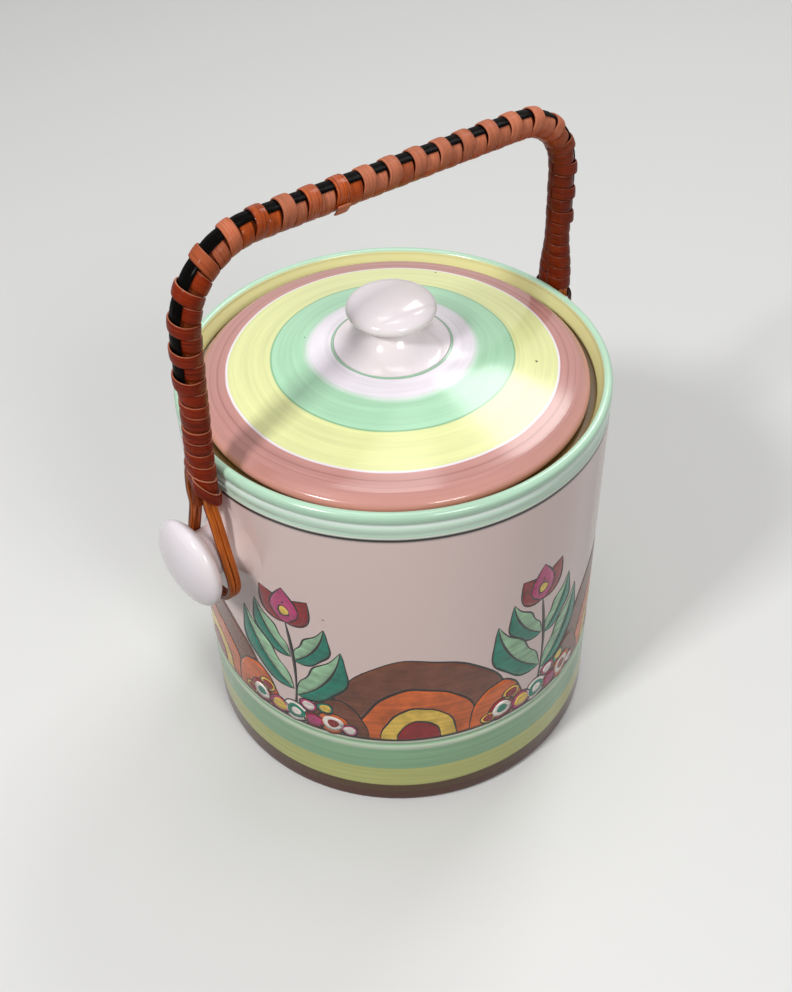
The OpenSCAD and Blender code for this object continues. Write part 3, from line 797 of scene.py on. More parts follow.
def loop_surface(side, place):
    """One split cane: a squarish section carried along the loop's centre line. place is -1 for
    the cane next to the wall and 1 for the one next to the lug's cap."""
    line = loop_line(side)
    (line_y, line_z), (out_y, out_z) = line.T[..., None], square_to(line).T[..., None]
    u, size = full_circle(24), end_size(len(line))
    deep = CANE_HALF_T * rounded(np.sin(u), 0.55) * size
    length = np.arange(len(line))[:, None] * LOOP_STEP
    x = (place * (SPLIT_R + GAP) + CANE_SWAY * np.sin(length / 9 + 2 * side + place)
         + CANE_HALF_W * rounded(np.cos(u), 0.5) * size
         + np.clip(TAIL_BEND - line_z, 0, None) * np.tan(LOOP_LEAN - SIDES[side][0]))
    if side < 0:
        slipped = soft_step(line_z, *SLIPPED_FROM) * (1 - soft_step(line_z, *SLIPPED_TO))
        x = x + SLIPPED_OUT * slipped * (line_y > 0)
    strand = together(length * MM, np.cos(u), 0.5 + 0.2 * place + 0.07 * side)
    return (from_leg(side, x, line_y + deep * out_y, line_z + deep * out_z),
            {"strand": strand, "finish": np.array([0.05, 0, 0.6])})


loops = {}
for side, side_name in ((-1, "left"), (1, "right")):
    for place, place_name in ((-1, "wall"), (1, "cap")):
        loops[side_name, place_name] = piece_from(f"split_cane_{side_name}_{place_name}",
                                                  [loop_surface(side, place)])

# %% [markdown]
# ## The last turns
# The binding ends on each leg in a turn that lies slantwise on the turns below it. The left one
# is steep: it comes down from the outer side to the wall. Each is pressed flat where the leg
# passes the wall. A ring would be simpler, but a strip with two tucked ends shows how it is tied.

# %% Last turns
WALL_GAP, TIE_GAP, TIE_T, TIE_TUCK, TUCKED_SHARE = 0.35, 0.18, 0.7, 0.75, 0.07
# For each leg: height along it, rise outwards and rise towards +Y, width, the room at the front
# and at the rear, and the angles at which the turn starts and ends
TIES = {-1: (26.4, 0.95, 0.65, 4.3, 0.55, 0.0, -12, -262),
        1: (WRAP_FROM + 3.4, 0.0, np.tan(np.radians(20)), 3.9, 1.65, 1.65, 190, -165)}


def end_turn_surface(side):
    """A strip's section carried round the leg's outline. Height along the leg grows with the way
    outwards and with Y, both ends are tucked in, and nothing comes nearer to the wall than its
    gap."""
    height, rise_out, rise_rear, width, front, rear, start, stop = TIES[side]
    around = with_ends(np.radians(np.linspace(start, stop, 81)))[:, None]
    size, t = end_size(len(around)), np.linspace(0, 1, len(around))[:, None]
    tucked = TIE_TUCK * (1 - soft_step(np.minimum(t, 1 - t), 0.0, TUCKED_SHARE))
    room = np.where(np.sin(around) > 0, rear, front) * np.clip(3 * np.sin(around), -1, 1)
    across, up = section(SECTION_POINTS, width, TIE_T).T
    radius = (CORE_R + BINDER_T + TIE_GAP - tucked) + TIE_T / 2 + (up - TIE_T / 2) * size
    x = np.maximum(np.cos(around) * radius, -(LEG_X - JAR_R - WALL_GAP) + 0.02 * up)
    middle_r = CORE_R + BINDER_T + TIE_T / 2
    z = (height + across * size + rise_out * middle_r * np.cos(around)
         + rise_rear * (middle_r * np.sin(around) + room))
    strand = together(around * 5 * MM, across * size / (width / 2), 0.5 + 0.1 * side)
    return (from_leg(side, x, np.sin(around) * radius + room, z),
            {"strand": strand, "finish": np.array([0.08, -side, 0])})


left_tie = piece_from("cane_last_turn_left", [end_turn_surface(-1)])
right_tie = piece_from("cane_last_turn_right", [end_turn_surface(1)])

# %% [markdown]
# ## The painted border
# Enamel painted over the glaze stands on it as a thin skin, so each brush mark is a mesh of its
# own, less than a tenth of a millimetre above the wall. The design is a plain repeat of round
# fans and buds with paired leaves, with a heap of ringed dots between the fans. Each mark is a
# grid over the wall's length and height, and the grid is then wrapped round the jar. A picture
# could carry the design too, but drawn marks stay sharp from close by and catch the light.

# %% Brush marks
REPEATS, SCALE, START = 5, 1.2, np.radians(162)
REPEAT_LEN = 2 * np.pi * JAR_R / REPEATS / SCALE
BORDER_Z = 34.0
FAN_LINE, RIB_LINE, FINE_LINE = 0.62, 0.6, 0.5  # widths of the brush lines
marks = []  # (grid [along the wall, height], colour, layer)


def stroke(points, width, layer):
    """A black brush line along points. It swells and thins a little and ends in a fine tip."""
    t = np.linspace(0, 1, len(points))
    thick = width * (0.85 + 0.25 * np.sin(9 * t + points[0, 0])) * np.clip(
        6 * np.minimum(t, 1 - t) + 0.35, 0, 1)
    rows = np.array([-1, 0, 1])[:, None, None] / 2
    marks.append((points + rows * thick[:, None] * square_to(points), "black", layer))


def fan(place, half_width, height, inner, colour, layer):
    """Half of a flat ring on the border's base line, from the inner share of its size to all."""
    angle = np.linspace(0, np.pi, 49)
    wobble = 1 + 0.018 * np.sin(5 * angle + place) + 0.008 * np.sin(11 * angle - place)
    share = np.linspace(inner, 1, 9)[:, None] * wobble
    grid = together(place + share * half_width * np.cos(angle),
                    BORDER_Z + share * height * np.sin(angle))
    marks.append((grid, colour, layer))
    stroke(grid[-1], FAN_LINE, layer + 1)


def dot(place, height, radius, colour, layer, outlined=False):
    """A dot, nearly round, with its outline if it has one."""
    angle = np.linspace(0, 2 * np.pi, 29)
    wobble = 1 + 0.05 * np.sin(3 * angle + place) + 0.03 * np.sin(2 * angle - height)
    edge = (radius * wobble)[:, None] * together(np.cos(angle), np.sin(angle))
    share = np.linspace(0.02, 1, 4)[:, None, None]
    marks.append(([place, height] + share * edge, colour, layer))
    if outlined:
        stroke([place, height] + edge, FINE_LINE, layer + 1)


def berry(place, height, radius, rings, layer):
    """Dots inside each other, each smaller by nearly a third of the first, one for each
    colour."""
    for k, colour in enumerate(rings):
        dot(place + 0.1 * k, height, radius * (1 - k / 3.2), colour, layer + 2 * k, k == 0)


def leaf(root, heading, length, width, curl, colours, layer=4):
    """A leaf in two halves on a bent rib: half width is W * sin(pi * t^0.8), drawn on each
    side of the rib in its own colour, with the rib and both edges outlined."""
    t = np.linspace(0, 1, 29)
    turn = heading + curl * t
    steps = length / 28 * together(np.cos(turn), np.sin(turn))[:-1]
    rib = np.array(root) + np.concatenate([[[0, 0]], np.cumsum(steps, axis=0)])
    half = width / 2 * np.sin(np.pi * t ** 0.8) * (1 + 0.13 * np.sin(13 * t))
    reach = half[:, None] * together(-np.sin(turn), np.cos(turn))
    for hand, colour in zip((1, -1), colours):
        share = np.linspace(0, 1, 4)[:, None, None]
        marks.append((rib + hand * share * reach, colour, layer))
        stroke(rib + hand * reach, FINE_LINE, layer + 1)
    stroke(rib, RIB_LINE, layer + 1)


def bud(place, height, size, layer=6):
    """Three petals on a stalk, the middle one in front: half width is a third of the length
    times sin(pi * t^0.75)."""
    for turn, colour, over in ((0.6, "red", 0), (-0.6, "red", 0), (0, "pink", 2)):
        t = np.linspace(0, 1, 21)
        rib = together(place + size * t * np.sin(turn), height + size * t * np.cos(turn))
        half = size * 0.34 * np.sin(np.pi * t ** 0.75)
        reach = half[:, None] * np.array([np.cos(turn), -np.sin(turn)])
        share = np.linspace(-1, 1, 6)[:, None, None]
        marks.append((rib + share * reach, colour, layer + over))
        for hand in (-1, 1):
            stroke(rib + hand * reach, FINE_LINE, layer + over + 1)
    dot(place, height + size * 0.34, size * 0.13, "yellow", layer + 4, True)


# %% The repeat
# Fans: half width, height, inner share and colour. Side fans: place beside the bud, height and
# colour. Leaves: side, height of the root, length and width. Berries: place beside the bud,
# height, radius and colours.
FANS = ((26, 32, 0.64, "brown"), (16.5, 20.5, 0.62, "orange"), (10.2, 12.8, 0.58, "yellow"),
        (5.8, 7.4, 0.0, "red"))
SIDE_FANS, SIDE_FAN_HALF = ((-12.5, 15.5, "orange"), (12.5, 14, "brown")), 8.6
LEAVES = ((1, 11, 27, 10), (-1, 13, 29, 10), (1, 25, 19, 7.6), (-1, 26, 20, 7.6))
BERRIES = ((-11.6, 3.6, 4.2, ("red", "white", "teal")), (-5.0, 2.9, 3.3, ("pink", "yellow")),
           (-8.6, 8.4, 2.6, ("yellow", "red")), (0.4, 3.5, 4.1, ("white", "teal", "white")),
           (6.0, 2.7, 3.1, ("red", "pink")), (4.6, 8.2, 2.5, ("pink", "white")),
           (11.4, 3.7, 4.3, ("orange", "white", "red")), (9.6, 9.2, 2.3, ("teal", "yellow")),
           (-15.6, 1.9, 2.2, ("yellow", "red")), (16.0, 2.1, 2.4, ("pink", "white")))
STALK_H, STALK_SWAY, BUD_SIZE = 40, 1.8, 12.5


def border_repeat(middle):
    """One repeat: a large fan, a bud with leaves half a repeat further on, and a heap of ringed
    dots at the foot of the bud."""
    grow = chance.uniform(0.97, 1.03)
    for half_width, height, inner, colour in FANS:
        fan(middle, half_width * grow, height * grow, inner, colour, 0)
    stem = middle + REPEAT_LEN / 2
    for place, height, colour in SIDE_FANS:
        fan(stem + place, SIDE_FAN_HALF, height * grow, 0.0, colour, 2)
    t = np.linspace(0, 1, 33)
    stroke(together(stem + STALK_SWAY * np.sin(3 * t), BORDER_Z + STALK_H * t), 1.0, 5)
    bud(stem + STALK_SWAY * np.sin(3.0), BORDER_Z + STALK_H - 1, BUD_SIZE * grow)
    for hand, root, length, wide in LEAVES:
        leaf((stem + 1.2 + hand * 0.4, BORDER_Z + root), np.pi / 2 - hand * 0.95, length * grow,
             wide, hand * 0.85, ("leaf", "teal")[::hand])
    for place, height, radius, rings in BERRIES:
        berry(stem + place * grow, BORDER_Z + height, radius, rings, 10)


for number in range(REPEATS):
    border_repeat(START * JAR_R / SCALE + number * REPEAT_LEN)
print("brush marks:", len(marks))

# %% Wrap the marks round the jar
def srgb(red, green, blue):
    """A colour written as on a screen, from 0 to 255, as the linear values that shaders take."""
    c = np.array([red, green, blue]) / 255
    linear = np.where(c <= 0.04045, c / 12.92, ((c + 0.055) / 1.055) ** 2.4)
    return (*linear.tolist(), 1.0)


PAINTS = {"brown": srgb(112, 62, 42), "orange": srgb(206, 98, 40), "yellow": srgb(228, 190, 84),
          "red": srgb(142, 26, 30), "pink": srgb(184, 58, 112), "leaf": srgb(150, 190, 152),
          "teal": srgb(16, 122, 100), "black": srgb(22, 18, 18), "white": srgb(240, 228, 220)}
ENAMEL_T, LAYER_T, SUNK = 0.02, 0.0045, 0.05


def mark_shell(grid, colour, layer):
    """A mark as a closed skin. Length along the wall becomes an angle, and the face stands above
    the wall by the lift of its layer. The skin is the rows of the face, then those of a back
    inside the wall in reverse, with each row's ends drawn together."""
    grid = (grid - [0, BORDER_Z]) * SCALE + [0, BORDER_Z]
    angle, z = grid[..., 0] / JAR_R, grid[..., 1]
    radius = WALL_R + wall_relief(z) + waver(angle, z)
    face, back = (together(r * np.cos(angle), r * np.sin(angle), z) * MM
                  for r in (radius + ENAMEL_T + LAYER_T * layer, radius - SUNK))
    loop = np.concatenate([face, back[::-1], face[:1]]).transpose(1, 0, 2)[:, :-1]
    first, last = (np.broadcast_to(row.mean(0), (1, *row.shape)) for row in (loop[0], loop[-1]))
    return np.concatenate([first, loop, last]), {"enamel": np.array(PAINTS[colour][:3])}


painted_fills = piece_from("enamel_fills", [mark_shell(*m) for m in marks if m[1] != "black"])
painted_lines = piece_from("enamel_outlines", [mark_shell(*m) for m in marks if m[1] == "black"])

# %% [markdown]
# ## Building blocks of the finishes
# The same few effects serve several materials, so each is a node group: the streaks that a wide
# brush leaves in a painted band, the small dark specks of iron in a glaze, the faint ripple of
# melted glass, and the fibres of cane.

# %% Brushed bands, specks, glaze ripple and cane fibre
def new_group(name, inputs, outputs):
    """An empty node group with the named sockets. Returns its nodes, its inputs and a function
    that fills its outputs and gives the group."""
    group = bpy.data.node_groups.new(name, "ShaderNodeTree")
    for way, sockets in (("INPUT", inputs), ("OUTPUT", outputs)):
        for socket in sockets.split():
            kind = "Vector" if socket in ("Position", "Strand") else "Float"
            group.interface.new_socket(socket, in_out=way, socket_type="NodeSocket" + kind)
    nodes = Nodes(group)
    start, end = group.nodes.new("NodeGroupInput"), group.nodes.new("NodeGroupOutput")

    def put(**results):
        for socket, value in results.items():
            nodes.fill(end.inputs[socket], value)
        return group

    return nodes, start.outputs, put


def brushed_band_group():
    """Streak is noise that is stretched round the pot and fine across the band. Wander is a
    slow noise in metres, by which the edge of a band strays."""
    nodes, given, put = new_group("brushed_band", "Position Across", "Streak Wander")
    x, y, _ = nodes.parts(given["Position"])

    def brush_noise(round_pot, across_band, detail, roughness):
        place = nodes.vector(nodes.times(x, round_pot), nodes.times(y, round_pot),
                             nodes.times(given["Across"], across_band))
        return nodes.noise(place, 1.0, detail, roughness)

    streak, wander = brush_noise(16.0, 620.0, 4.0, 0.62), brush_noise(30.0, 40.0, 2.0, 0.5)
    return put(Streak=nodes.between(streak, 0.28, 0.72),
               Wander=nodes.times(nodes.plus(wander, -0.5), 0.0011))


def iron_speck_group():
    """Mask is 1 in a small dot at the middle of a few of the cells of a Voronoi pattern."""
    nodes, given, put = new_group("iron_specks", "Position Scale Share", "Mask")
    cells = nodes.add("TexVoronoi", given["Position"], None, given["Scale"]).outputs
    lot, size, _ = nodes.parts(cells["Color"])
    off_middle = nodes.math("DIVIDE", cells["Distance"], nodes.spread(size, 0.02, 0.06))
    return put(Mask=nodes.times(nodes.math("LESS_THAN", lot, given["Share"]),
                                nodes.between(off_middle, 0.6, 1.1, 1.0, 0.0)))


def glaze_ripple_group():
    """Height joins a slow ripple and a fine one. Cloud is a slow tone for pooled glaze."""
    nodes, given, put = new_group("glaze_ripple", "Position", "Height Cloud")
    slow = nodes.noise(given["Position"], 70.0, 2.0, 0.5)
    fine = nodes.noise(given["Position"], 520.0, 2.0, 0.5)
    cloud = nodes.noise(given["Position"], 28.0, 3.0, 0.55)
    return put(Height=nodes.math("MULTIPLY_ADD", fine, 0.25, slow),
               Cloud=nodes.between(cloud, 0.3, 0.7))


def cane_fibre_group():
    """Reads the strand attribute: length, place across and the strip's own tone. Fibre is noise
    drawn out along the strip, Blotch is darker varnish, Edge rises at the upper edge for a painted
    highlight, and Crevice at both edges for painted shade. Groove is 1 in thin lines along the
    strip, where a slow noise passes one half, and Crack is fine noise across it."""
    nodes, given, put = new_group("cane_fibre", "Strand Fineness Upper",
                                  "Fibre Blotch Edge Crevice Groove Crack")
    along, across, own = nodes.parts(given["Strand"])
    apart, fineness = nodes.times(own, 37.0), given["Fineness"]

    def strip_noise(by_length, by_width, detail, roughness, number=apart):
        place = nodes.vector(nodes.times(along, by_length), nodes.times(across, by_width), number)
        return nodes.noise(place, 1.0, detail, roughness)

    fibre, blotch = strip_noise(90.0, fineness, 4.0, 0.6), strip_noise(190.0, 1.4, 2.0, 0.5)
    line = strip_noise(26.0, nodes.times(fineness, 0.36), 1.0, 0.4, nodes.plus(apart, 11.0))
    off_half = nodes.math("ABSOLUTE", nodes.plus(line, -0.5))
    return put(Fibre=nodes.between(fibre, 0.3, 0.7), Blotch=nodes.between(blotch, 0.35, 0.7),
               Edge=nodes.between(nodes.times(across, given["Upper"]), 0.84, 0.93),
               Crevice=nodes.between(nodes.math("ABSOLUTE", across), 0.90, 1.0),
               Groove=nodes.between(off_half, 0.006, 0.035, 1.0, 0.0),
               Crack=strip_noise(2300.0, 2.2, 2.0, 0.6))


brushed_band, iron_specks = brushed_band_group(), iron_speck_group()
glaze_ripple, cane_fibre = glaze_ripple_group(), cane_fibre_group()
print("groups:", [g.name for g in bpy.data.node_groups])

# %% [markdown]
# ## Glazes
# Each glaze is one shader. Its colour comes from a ramp over height on the jar, or over radius
# on the lid. The ramp's input strays by the band's wander, and the colour is then made lighter
# and darker by the brush streaks. Roughness is low and even, and a small bump stirs the
# reflections. Separate rings of geometry could hold the bands, but a ramp lets their edges stray.

# %% Start a material, and bands from a ramp
GREEN, YELLOW, MAUVE = srgb(180, 228, 192), srgb(236, 240, 172), srgb(200, 144, 136)
CREAM, WHITE, BLACK = srgb(230, 206, 200), srgb(249, 242, 250), srgb(16, 14, 14)
RED_BROWN, OLIVE_BROWN, BUFF = srgb(84, 40, 20), srgb(88, 56, 20), srgb(206, 190, 164)
# LIME and MINT, the jar's lower yellow and green, are greyer than the lid's YELLOW and GREEN,
# partly as painted shade of the wall, which faces sideways from the lamps.
LIME, MINT, IRON = srgb(198, 202, 122), srgb(146, 189, 148), srgb(70, 50, 36)
SEAT_SHADE, LID_SHADE = srgb(120, 96, 58), srgb(104, 72, 48)
GLAZE_BUMP = 0.00003


def new_material(name, roughness):
    """A material, its nodes, and the inputs of its Principled shader."""
    material = bpy.data.materials.new(name)
    material.use_nodes = True
    shader = material.node_tree.nodes["Principled BSDF"].inputs
    shader["Roughness"].default_value = roughness
    return material, Nodes(material.node_tree), shader


def object_place(nodes):
    """The Object coordinates, the height, and the distance from the jar's axis."""
    place = nodes.add("TexCoord").outputs["Object"]
    x, y, z = nodes.parts(place)
    level = nodes.add("VectorMath", nodes.vector(x, y, 0.0), operation="LENGTH")
    return place, z, level.outputs["Value"]


def band_ramp(nodes, value, length, bands, soft):
    """A colour ramp over the given length. bands lists [where the band starts, its colour], and
    each edge is soft over the given width on either side."""
    ramp = nodes.add("ValToRGB", nodes.math("DIVIDE", value, length * MM))
    stops = [(0, bands[0][1])]
    for (_, before), (start, colour) in zip(bands[:-1], bands[1:]):
        stops += [((start - soft) / length, before), ((start + soft) / length, colour)]
    table = ramp.color_ramp
    while len(table.elements) < len(stops):
        table.elements.new(1.0)
    for element, (place, colour) in zip(table.elements, stops):
        element.position = min(place, 1.0)
        element.color = colour
    return ramp.outputs["Color"]


def finish_glaze(nodes, shader, place, colour, specks, roughness=None):
    """Adds the iron specks and the ripple that every glaze has, and lets the roughness follow
    the glaze's clouds."""
    dots = nodes.use(iron_specks, Position=place, Scale=105.0, Share=specks)["Mask"]
    nodes.fill(shader["Base Color"], nodes.blend(dots, colour, IRON))
    ripple = nodes.use(glaze_ripple, Position=place)
    nodes.fill(shader["Normal"], nodes.bump(ripple["Height"], 0.6, GLAZE_BUMP))
    if roughness:
        nodes.fill(shader["Roughness"], nodes.spread(ripple["Cloud"], *roughness))


# %% Jar glaze
# The glazes' parts pass over to each other between two heights or radii, given in metres.
FOOT_BANDS, RIM_BANDS, BARE_FOOT = (0.0335, 0.0330), (0.1232, 0.1235), (0.0006, 0.0002)
INNER_WALL, YELLOW_FROM = (0.0633, 0.0630), (0.1252, 0.1256)
SEAT_LOW, SEAT_HIGH = (0.1246, 0.1250), (0.1268, 0.1262)
# The pale stops over the wall's ridges, at 28.7, 31.8, 123.35 and 125.3 mm, are partly painted
# highlights; the palest, at 127.4 mm, is a painted highlight where the rim faces up to the lamps.
JAR_BANDS = [(0, RED_BROWN), (5.3, OLIVE_BROWN), (9.2, LIME), (18.4, MINT),
             (28.7, srgb(206, 222, 196)), (30.5, MINT), (31.8, srgb(214, 222, 200)),
             (33.2, BLACK), (34.15, CREAM), (122.25, BLACK), (123.35, srgb(240, 244, 230)),
             (123.9, srgb(200, 230, 206)), (125.3, srgb(214, 240, 220)),
             (126.6, srgb(204, 234, 210)), (127.4, srgb(236, 250, 240)),
             (128.7, srgb(190, 228, 200))]


def jar_glaze():
    """Bands over height outside, yellow above the seat inside, and cream in the jar. The pale
    bands over the wall's ridges are partly painted highlights. The seat is darkened with painted
    shade of the gap round the lid, and the foot's underside is bare clay."""
    material, nodes, shader = new_material("jar_glaze", 0.16)
    place, z, radius = object_place(nodes)
    brush = nodes.use(brushed_band, Position=place, Across=z)
    strayed = nodes.plus(z, nodes.times(brush["Wander"], 0.5))
    bands = band_ramp(nodes, strayed, JAR_H, JAR_BANDS, 0.09)
    painted = nodes.math("MAXIMUM", nodes.between(z, *FOOT_BANDS), nodes.between(z, *RIM_BANDS))
    streaks = nodes.spread(brush["Streak"], 0.84, 1.08)
    outside = nodes.blend(painted, bands, nodes.scaled(bands, streaks))
    inside = nodes.blend(nodes.between(z, *YELLOW_FROM), CREAM, YELLOW)
    # Painted shade: the seat under the lid's edge, in the gap round the lid, is darkened.
    seat = nodes.times(nodes.between(z, *SEAT_LOW), nodes.between(z, *SEAT_HIGH))
    inside = nodes.blend(seat, inside, SEAT_SHADE)
    colour = nodes.blend(nodes.between(radius, *INNER_WALL), outside, inside)
    colour = nodes.blend(nodes.between(z, *BARE_FOOT), colour, BUFF)
    finish_glaze(nodes, shader, place, colour, 0.05, (0.13, 0.20))
    return material


# %% Lid glaze
GREEN_FADE, GREEN_FROM = (0.0238, 0.0262), (0.0184, 0.0185)
UNDERSIDE, IN_THE_GAP = (0.1262, 0.1258), (0.0560, 0.0568)
DEEP_GREEN, PALE_GREEN = srgb(120, 172, 132), srgb(176, 220, 188)
LID_BANDS = [(0, srgb(238, 217, 207)), (17.0, DEEP_GREEN), (17.35, PALE_GREEN), (17.8, DEEP_GREEN),
             (18.1, WHITE), (24.2, GREEN), (36.0, srgb(138, 190, 146)), (36.5, YELLOW),
             (49.4, WHITE), (50.0, MAUVE), (52.3, srgb(176, 120, 112)), (52.7, MAUVE),
             (54.6, srgb(184, 130, 120)), (54.9, MAUVE)]


def lid_glaze():
    """Rings over radius. The green ring fades to white at its inner edge. The underside is cream,
    with painted shade on its part that lies in the gap round the lid."""
    material, nodes, shader = new_material("lid_glaze", 0.16)
    place, z, radius = object_place(nodes)
    brush = nodes.use(brushed_band, Position=place, Across=radius)
    rings = band_ramp(nodes, nodes.plus(radius, brush["Wander"]), 60, LID_BANDS, 0.12)
    strayed = nodes.plus(radius, nodes.times(brush["Wander"], 3.0))
    fade = nodes.times(nodes.between(strayed, *GREEN_FADE, 1.0, 0.0),
                       nodes.between(radius, *GREEN_FROM))
    streaks = nodes.spread(brush["Streak"], 0.87, 1.06)
    top = nodes.scaled(nodes.blend(fade, rings, WHITE), streaks)
    # Painted shade: the underside's outer part, which lies in the gap round the lid, is darkened.
    below = nodes.blend(nodes.between(radius, *IN_THE_GAP), CREAM, LID_SHADE)
    colour = nodes.blend(nodes.between(z, *UNDERSIDE), top, below)
    finish_glaze(nodes, shader, place, colour, 0.35, (0.12, 0.19))
    return material


# %% White glaze of the knob and the lugs
LUG_CREAM = (0.0672, 0.0715)


def white_glaze(name, cream=None):
    """An off-white glaze that is warmer where it has pooled, with a few iron specks. On a lug the
    wall's cream runs out between the two given distances from the jar's axis."""
    material, nodes, shader = new_material(name, 0.14)
    place = nodes.add("TexCoord").outputs["Object"]
    cloud = nodes.use(glaze_ripple, Position=place)["Cloud"]
    colour = nodes.blend(cloud, WHITE, srgb(240, 228, 226))
    if cream:
        reach = nodes.math("ABSOLUTE", nodes.parts(place)[0])
        colour = nodes.blend(nodes.between(reach, *cream), CREAM, colour)
    finish_glaze(nodes, shader, place, colour, 0.30)
    return material


# %% [markdown]
# ## Enamel
# The painted marks carry their colour in an attribute. The brush leaves the enamel thinner and
# thicker in streaks, which show as lighter and darker tones of the same colour. With the colour in
# an attribute, one material serves every paint.

# %% Enamel
def enamel():
    """The attribute's colour, made lighter and darker by long streaks round the jar."""
    material, nodes, shader = new_material("overglaze_enamel", 0.24)
    place, z, _ = object_place(nodes)
    colour = nodes.add("Attribute", attribute_name="enamel").outputs["Color"]
    brush = nodes.use(brushed_band, Position=place, Across=z)
    patch = nodes.noise(place, 160.0, 3.0, 0.6)
    depth = nodes.plus(nodes.spread(brush["Streak"], -0.26, 0.30),
                       nodes.between(patch, 0.3, 0.7, 0.74, 1.30))
    nodes.fill(shader["Base Color"], nodes.scaled(colour, depth))
    nodes.fill(shader["Normal"], nodes.bump(patch, 0.5, 0.00004))
    return material


# %% [markdown]
# ## Cane
# Split cane has long fibres with dark lines between them. The handle was varnished: where the
# varnish is whole a turn is a glossy orange, with fine cracks across it, and where hands have
# worn it away the turn is a dull pinkish tan. Each turn carries its own wear in an attribute,
# because noise alone would wear the legs as much as the bar. The black strip is the same cane,
# dyed.

# %% Cane
# The first colour is a painted highlight for the legs' turns; the second leaves the bar free of the
# legs' stain and painted shade.
EDGE_HIGHLIGHT, NO_STAIN_OR_SHADE = srgb(214, 142, 112), (1.0, 1.0, 1.0, 1.0)


def deeper(colour, share):
    """The given share of a colour."""
    return (*(share * value for value in colour[:3]), 1.0)


def cane(name, glossy, dark, worn, fineness, highlight_share=0.8, groove=0.75, coat=0.14,
         leg=(0.50, 0.25, 0.05, 1.0), shaded_leg=(0.26, 0.08, 0.02, 1.0)):
    """Colour runs from dark to glossy with the fibres, has dark grooves along them and sinks in
    blotches. Wear mixes in the worn tone and takes the coat away. The third part of the finish
    attribute is 1 on the bar and 0 on the legs, which are darker and redder, partly as darker
    varnish and partly as painted shade; the leg for which the second part is -1 is darker still,
    as painted shade. Both edges of the strip get painted shade, and on the legs the upper edge of
    each turn gets a painted highlight."""
    material, nodes, shader = new_material(name, 0.45)
    strand, finish = (nodes.add("Attribute", attribute_name=key).outputs["Vector"]
                      for key in ("strand", "finish"))
    given_wear, upper, on_bar = nodes.parts(finish)
    fibre = nodes.use(cane_fibre, Strand=strand, Fineness=fineness, Upper=upper)
    broken = nodes.math("MULTIPLY_ADD", nodes.plus(fibre["Blotch"], -0.5), 0.35, given_wear)
    worn_off = nodes.between(broken, 0.12, 0.92)

    colour = nodes.blend(fibre["Fibre"], dark, glossy)
    colour = nodes.blend(nodes.times(fibre["Blotch"], 0.40), colour, dark)
    bare = nodes.blend(fibre["Fibre"], deeper(worn, 0.82), worn)
    colour = nodes.blend(worn_off, colour, bare)
    lines = nodes.times(fibre["Groove"], nodes.spread(worn_off, groove, 0.25))
    colour = nodes.blend(lines, colour, deeper(dark, 0.35))
    # Painted shade: both edges of each strip, where one turn meets the next, are darkened.
    colour = nodes.blend(nodes.times(fibre["Crevice"], 0.85), colour, deeper(dark, 0.2))
    # The legs are darker and redder than the bar, partly as darker varnish and partly as painted
    # shade; the right leg's extra darkness is painted shade.
    leg_stain_and_shade = nodes.blend(nodes.between(upper, -0.5, 0.5), shaded_leg, leg)
    colour = nodes.blend(1.0, colour, nodes.blend(on_bar, leg_stain_and_shade, NO_STAIN_OR_SHADE), "MULTIPLY")
    # Painted highlight: a pale line along the upper edge of each turn of the legs.
    edge_highlight = nodes.times(nodes.times(fibre["Edge"], nodes.spread(on_bar, 1.0, 0.0)),
                         nodes.between(upper, -0.5, 0.5, 0.45 * highlight_share, highlight_share))
    colour = nodes.blend(edge_highlight, colour, EDGE_HIGHLIGHT)
    tone = nodes.spread(nodes.parts(strand)[2], 0.86, 1.12)
    nodes.fill(shader["Base Color"], nodes.scaled(colour, tone))

    nodes.fill(shader["Roughness"], nodes.spread(worn_off, 0.34, 0.58))
    nodes.fill(shader["Coat Weight"], nodes.times(nodes.spread(on_bar, coat, 2.5 * coat),
                                                  nodes.spread(worn_off, 1.0, 0.12)))
    nodes.fill(shader["Coat Roughness"], 0.14)
    nodes.fill(shader["Specular IOR Level"], 0.4 * coat)
    relief = nodes.math("MULTIPLY_ADD", fibre["Crack"], nodes.spread(worn_off, -0.7, -0.15),
                        nodes.math("SUBTRACT", fibre["Fibre"], fibre["Groove"]))
    nodes.fill(shader["Normal"], nodes.bump(relief, 0.8, 0.00010))
    return material


def core_cane():
    """The core shows only where the loops leave it: bare cane with fibres along the leg."""
    material, nodes, shader = new_material("core_cane", 0.6)
    place = nodes.add("TexCoord").outputs["Object"]
    drawn = nodes.add("VectorMath", place, (900.0, 900.0, 60.0), operation="MULTIPLY")
    fibre = nodes.between(nodes.noise(drawn.outputs[0], 1.0, 3.0, 0.6), 0.3, 0.7)
    nodes.fill(shader["Base Color"], nodes.blend(fibre, srgb(96, 38, 14), srgb(132, 58, 22)))
    nodes.fill(shader["Specular IOR Level"], 0.08)
    return material


# %% Studio floor
def floor_paint():
    """A plain pale floor that keeps the object's shadow. Light that it throws back on the jar
    comes from a darker grey, so that the jar's wall falls off towards its foot."""
    material, nodes, shader = new_material("studio_paint", 0.9)
    nodes.fill(shader["Specular IOR Level"], 0.1)
    nodes.fill(shader["Base Color"], nodes.blend(seen_directly(nodes), (0.14, 0.14, 0.14, 1),
                                                 ROOM_GREY))
    return material
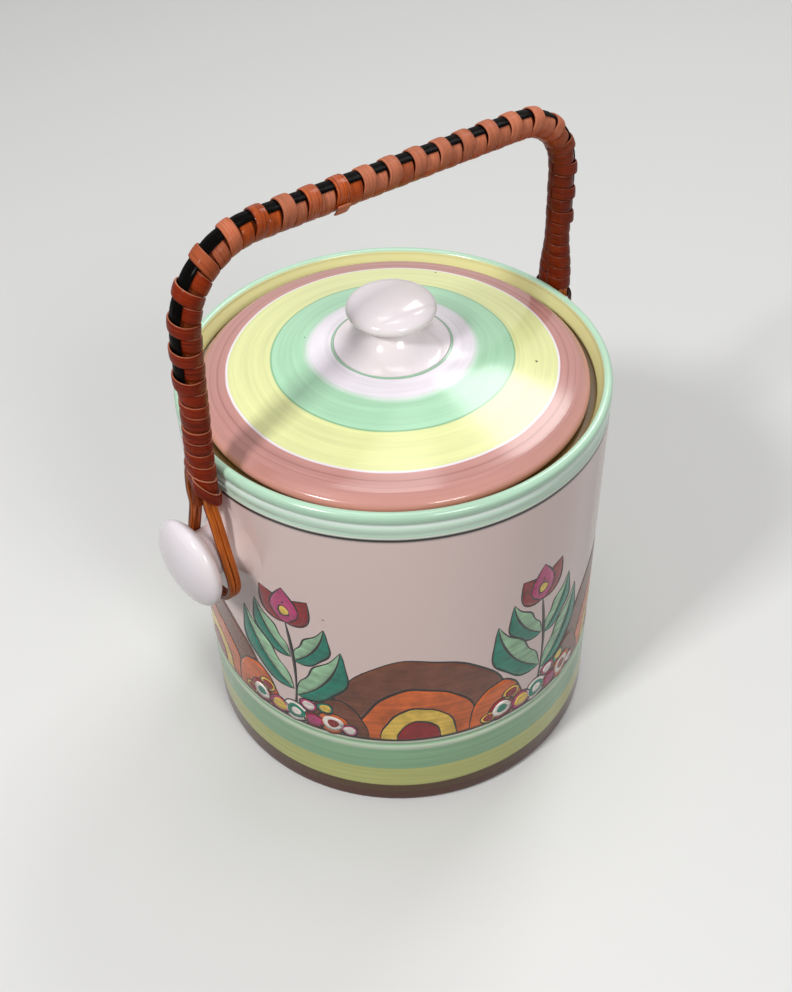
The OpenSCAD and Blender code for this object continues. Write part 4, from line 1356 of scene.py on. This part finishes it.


# %% [markdown]
# ## Dressing the pieces
# Each piece gets its material and the body that it moves with, and the solids that it stands
# for are hidden.

# %% Dress every piece
def paint(piece, material):
    """Gives a piece or a solid one material."""
    piece.data.materials.clear()
    piece.data.materials.append(material)


def dress(piece, material, body, slot, *solids):
    """Gives a piece its material and body, and hides the solids that it stands for. slot is not
    used.
    """
    paint(piece, material)
    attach(piece, body)
    if solids:
        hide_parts(*solids)


binding_cane = cane("binding_cane", srgb(214, 100, 14), srgb(154, 48, 4), srgb(210, 126, 94), 9.0)
split_cane = cane("split_cane", srgb(248, 138, 48), srgb(168, 76, 18), srgb(186, 112, 66), 8.0,
                  0.0, 0.9, 0.14, (0.92, 0.86, 0.85, 1.0), (0.6, 0.5, 0.45, 1.0))
dyed_cane = cane("dyed_cane", srgb(10, 9, 9), srgb(5, 4, 4), srgb(20, 18, 17), 14.0, 0.0, 0.5,
                 0.04)
knob_glaze, lug_glaze = white_glaze("white_glaze"), white_glaze("lug_glaze", LUG_CREAM)
enamel_paint = enamel()

dress(jar, jar_glaze(), "jar", "jar_glaze", "jar_body")
for painted in (painted_fills, painted_lines):
    dress(painted, enamel_paint, "jar", "jar_glaze")
for lug, solid in ((left_lug, "left_lug"), (right_lug, "right_lug")):
    dress(lug, lug_glaze, "jar", "white_glaze", solid)
dress(lid, lid_glaze(), "lid", "lid_glaze", "lid_plate")
dress(knob, knob_glaze, "lid", "white_glaze", "lid_knob")
for bound, solid in ((left_binding, "left_leg_binding"), (right_binding, "right_leg_binding"),
                     (under_turns, "woven_under_turns"), (over_turns, "woven_over_turns"),
                     (left_tie, "left_end_turn"), (right_tie, "right_end_turn")):
    dress(bound, binding_cane, "bail", "binding_cane", solid)
dress(loose_end, binding_cane, "bail", "binding_cane")
dress(black_strip, dyed_cane, "bail", "black_strip", "black_strip")
for (side_name, place_name), loop in loops.items():
    dress(loop, split_cane, "bail", "split_cane", f"{side_name}_loop_{place_name}_cane")
paint(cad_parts["bail_core"], core_cane())
paint(floor, floor_paint())
print("materials:", [material.name for material in bpy.data.materials])
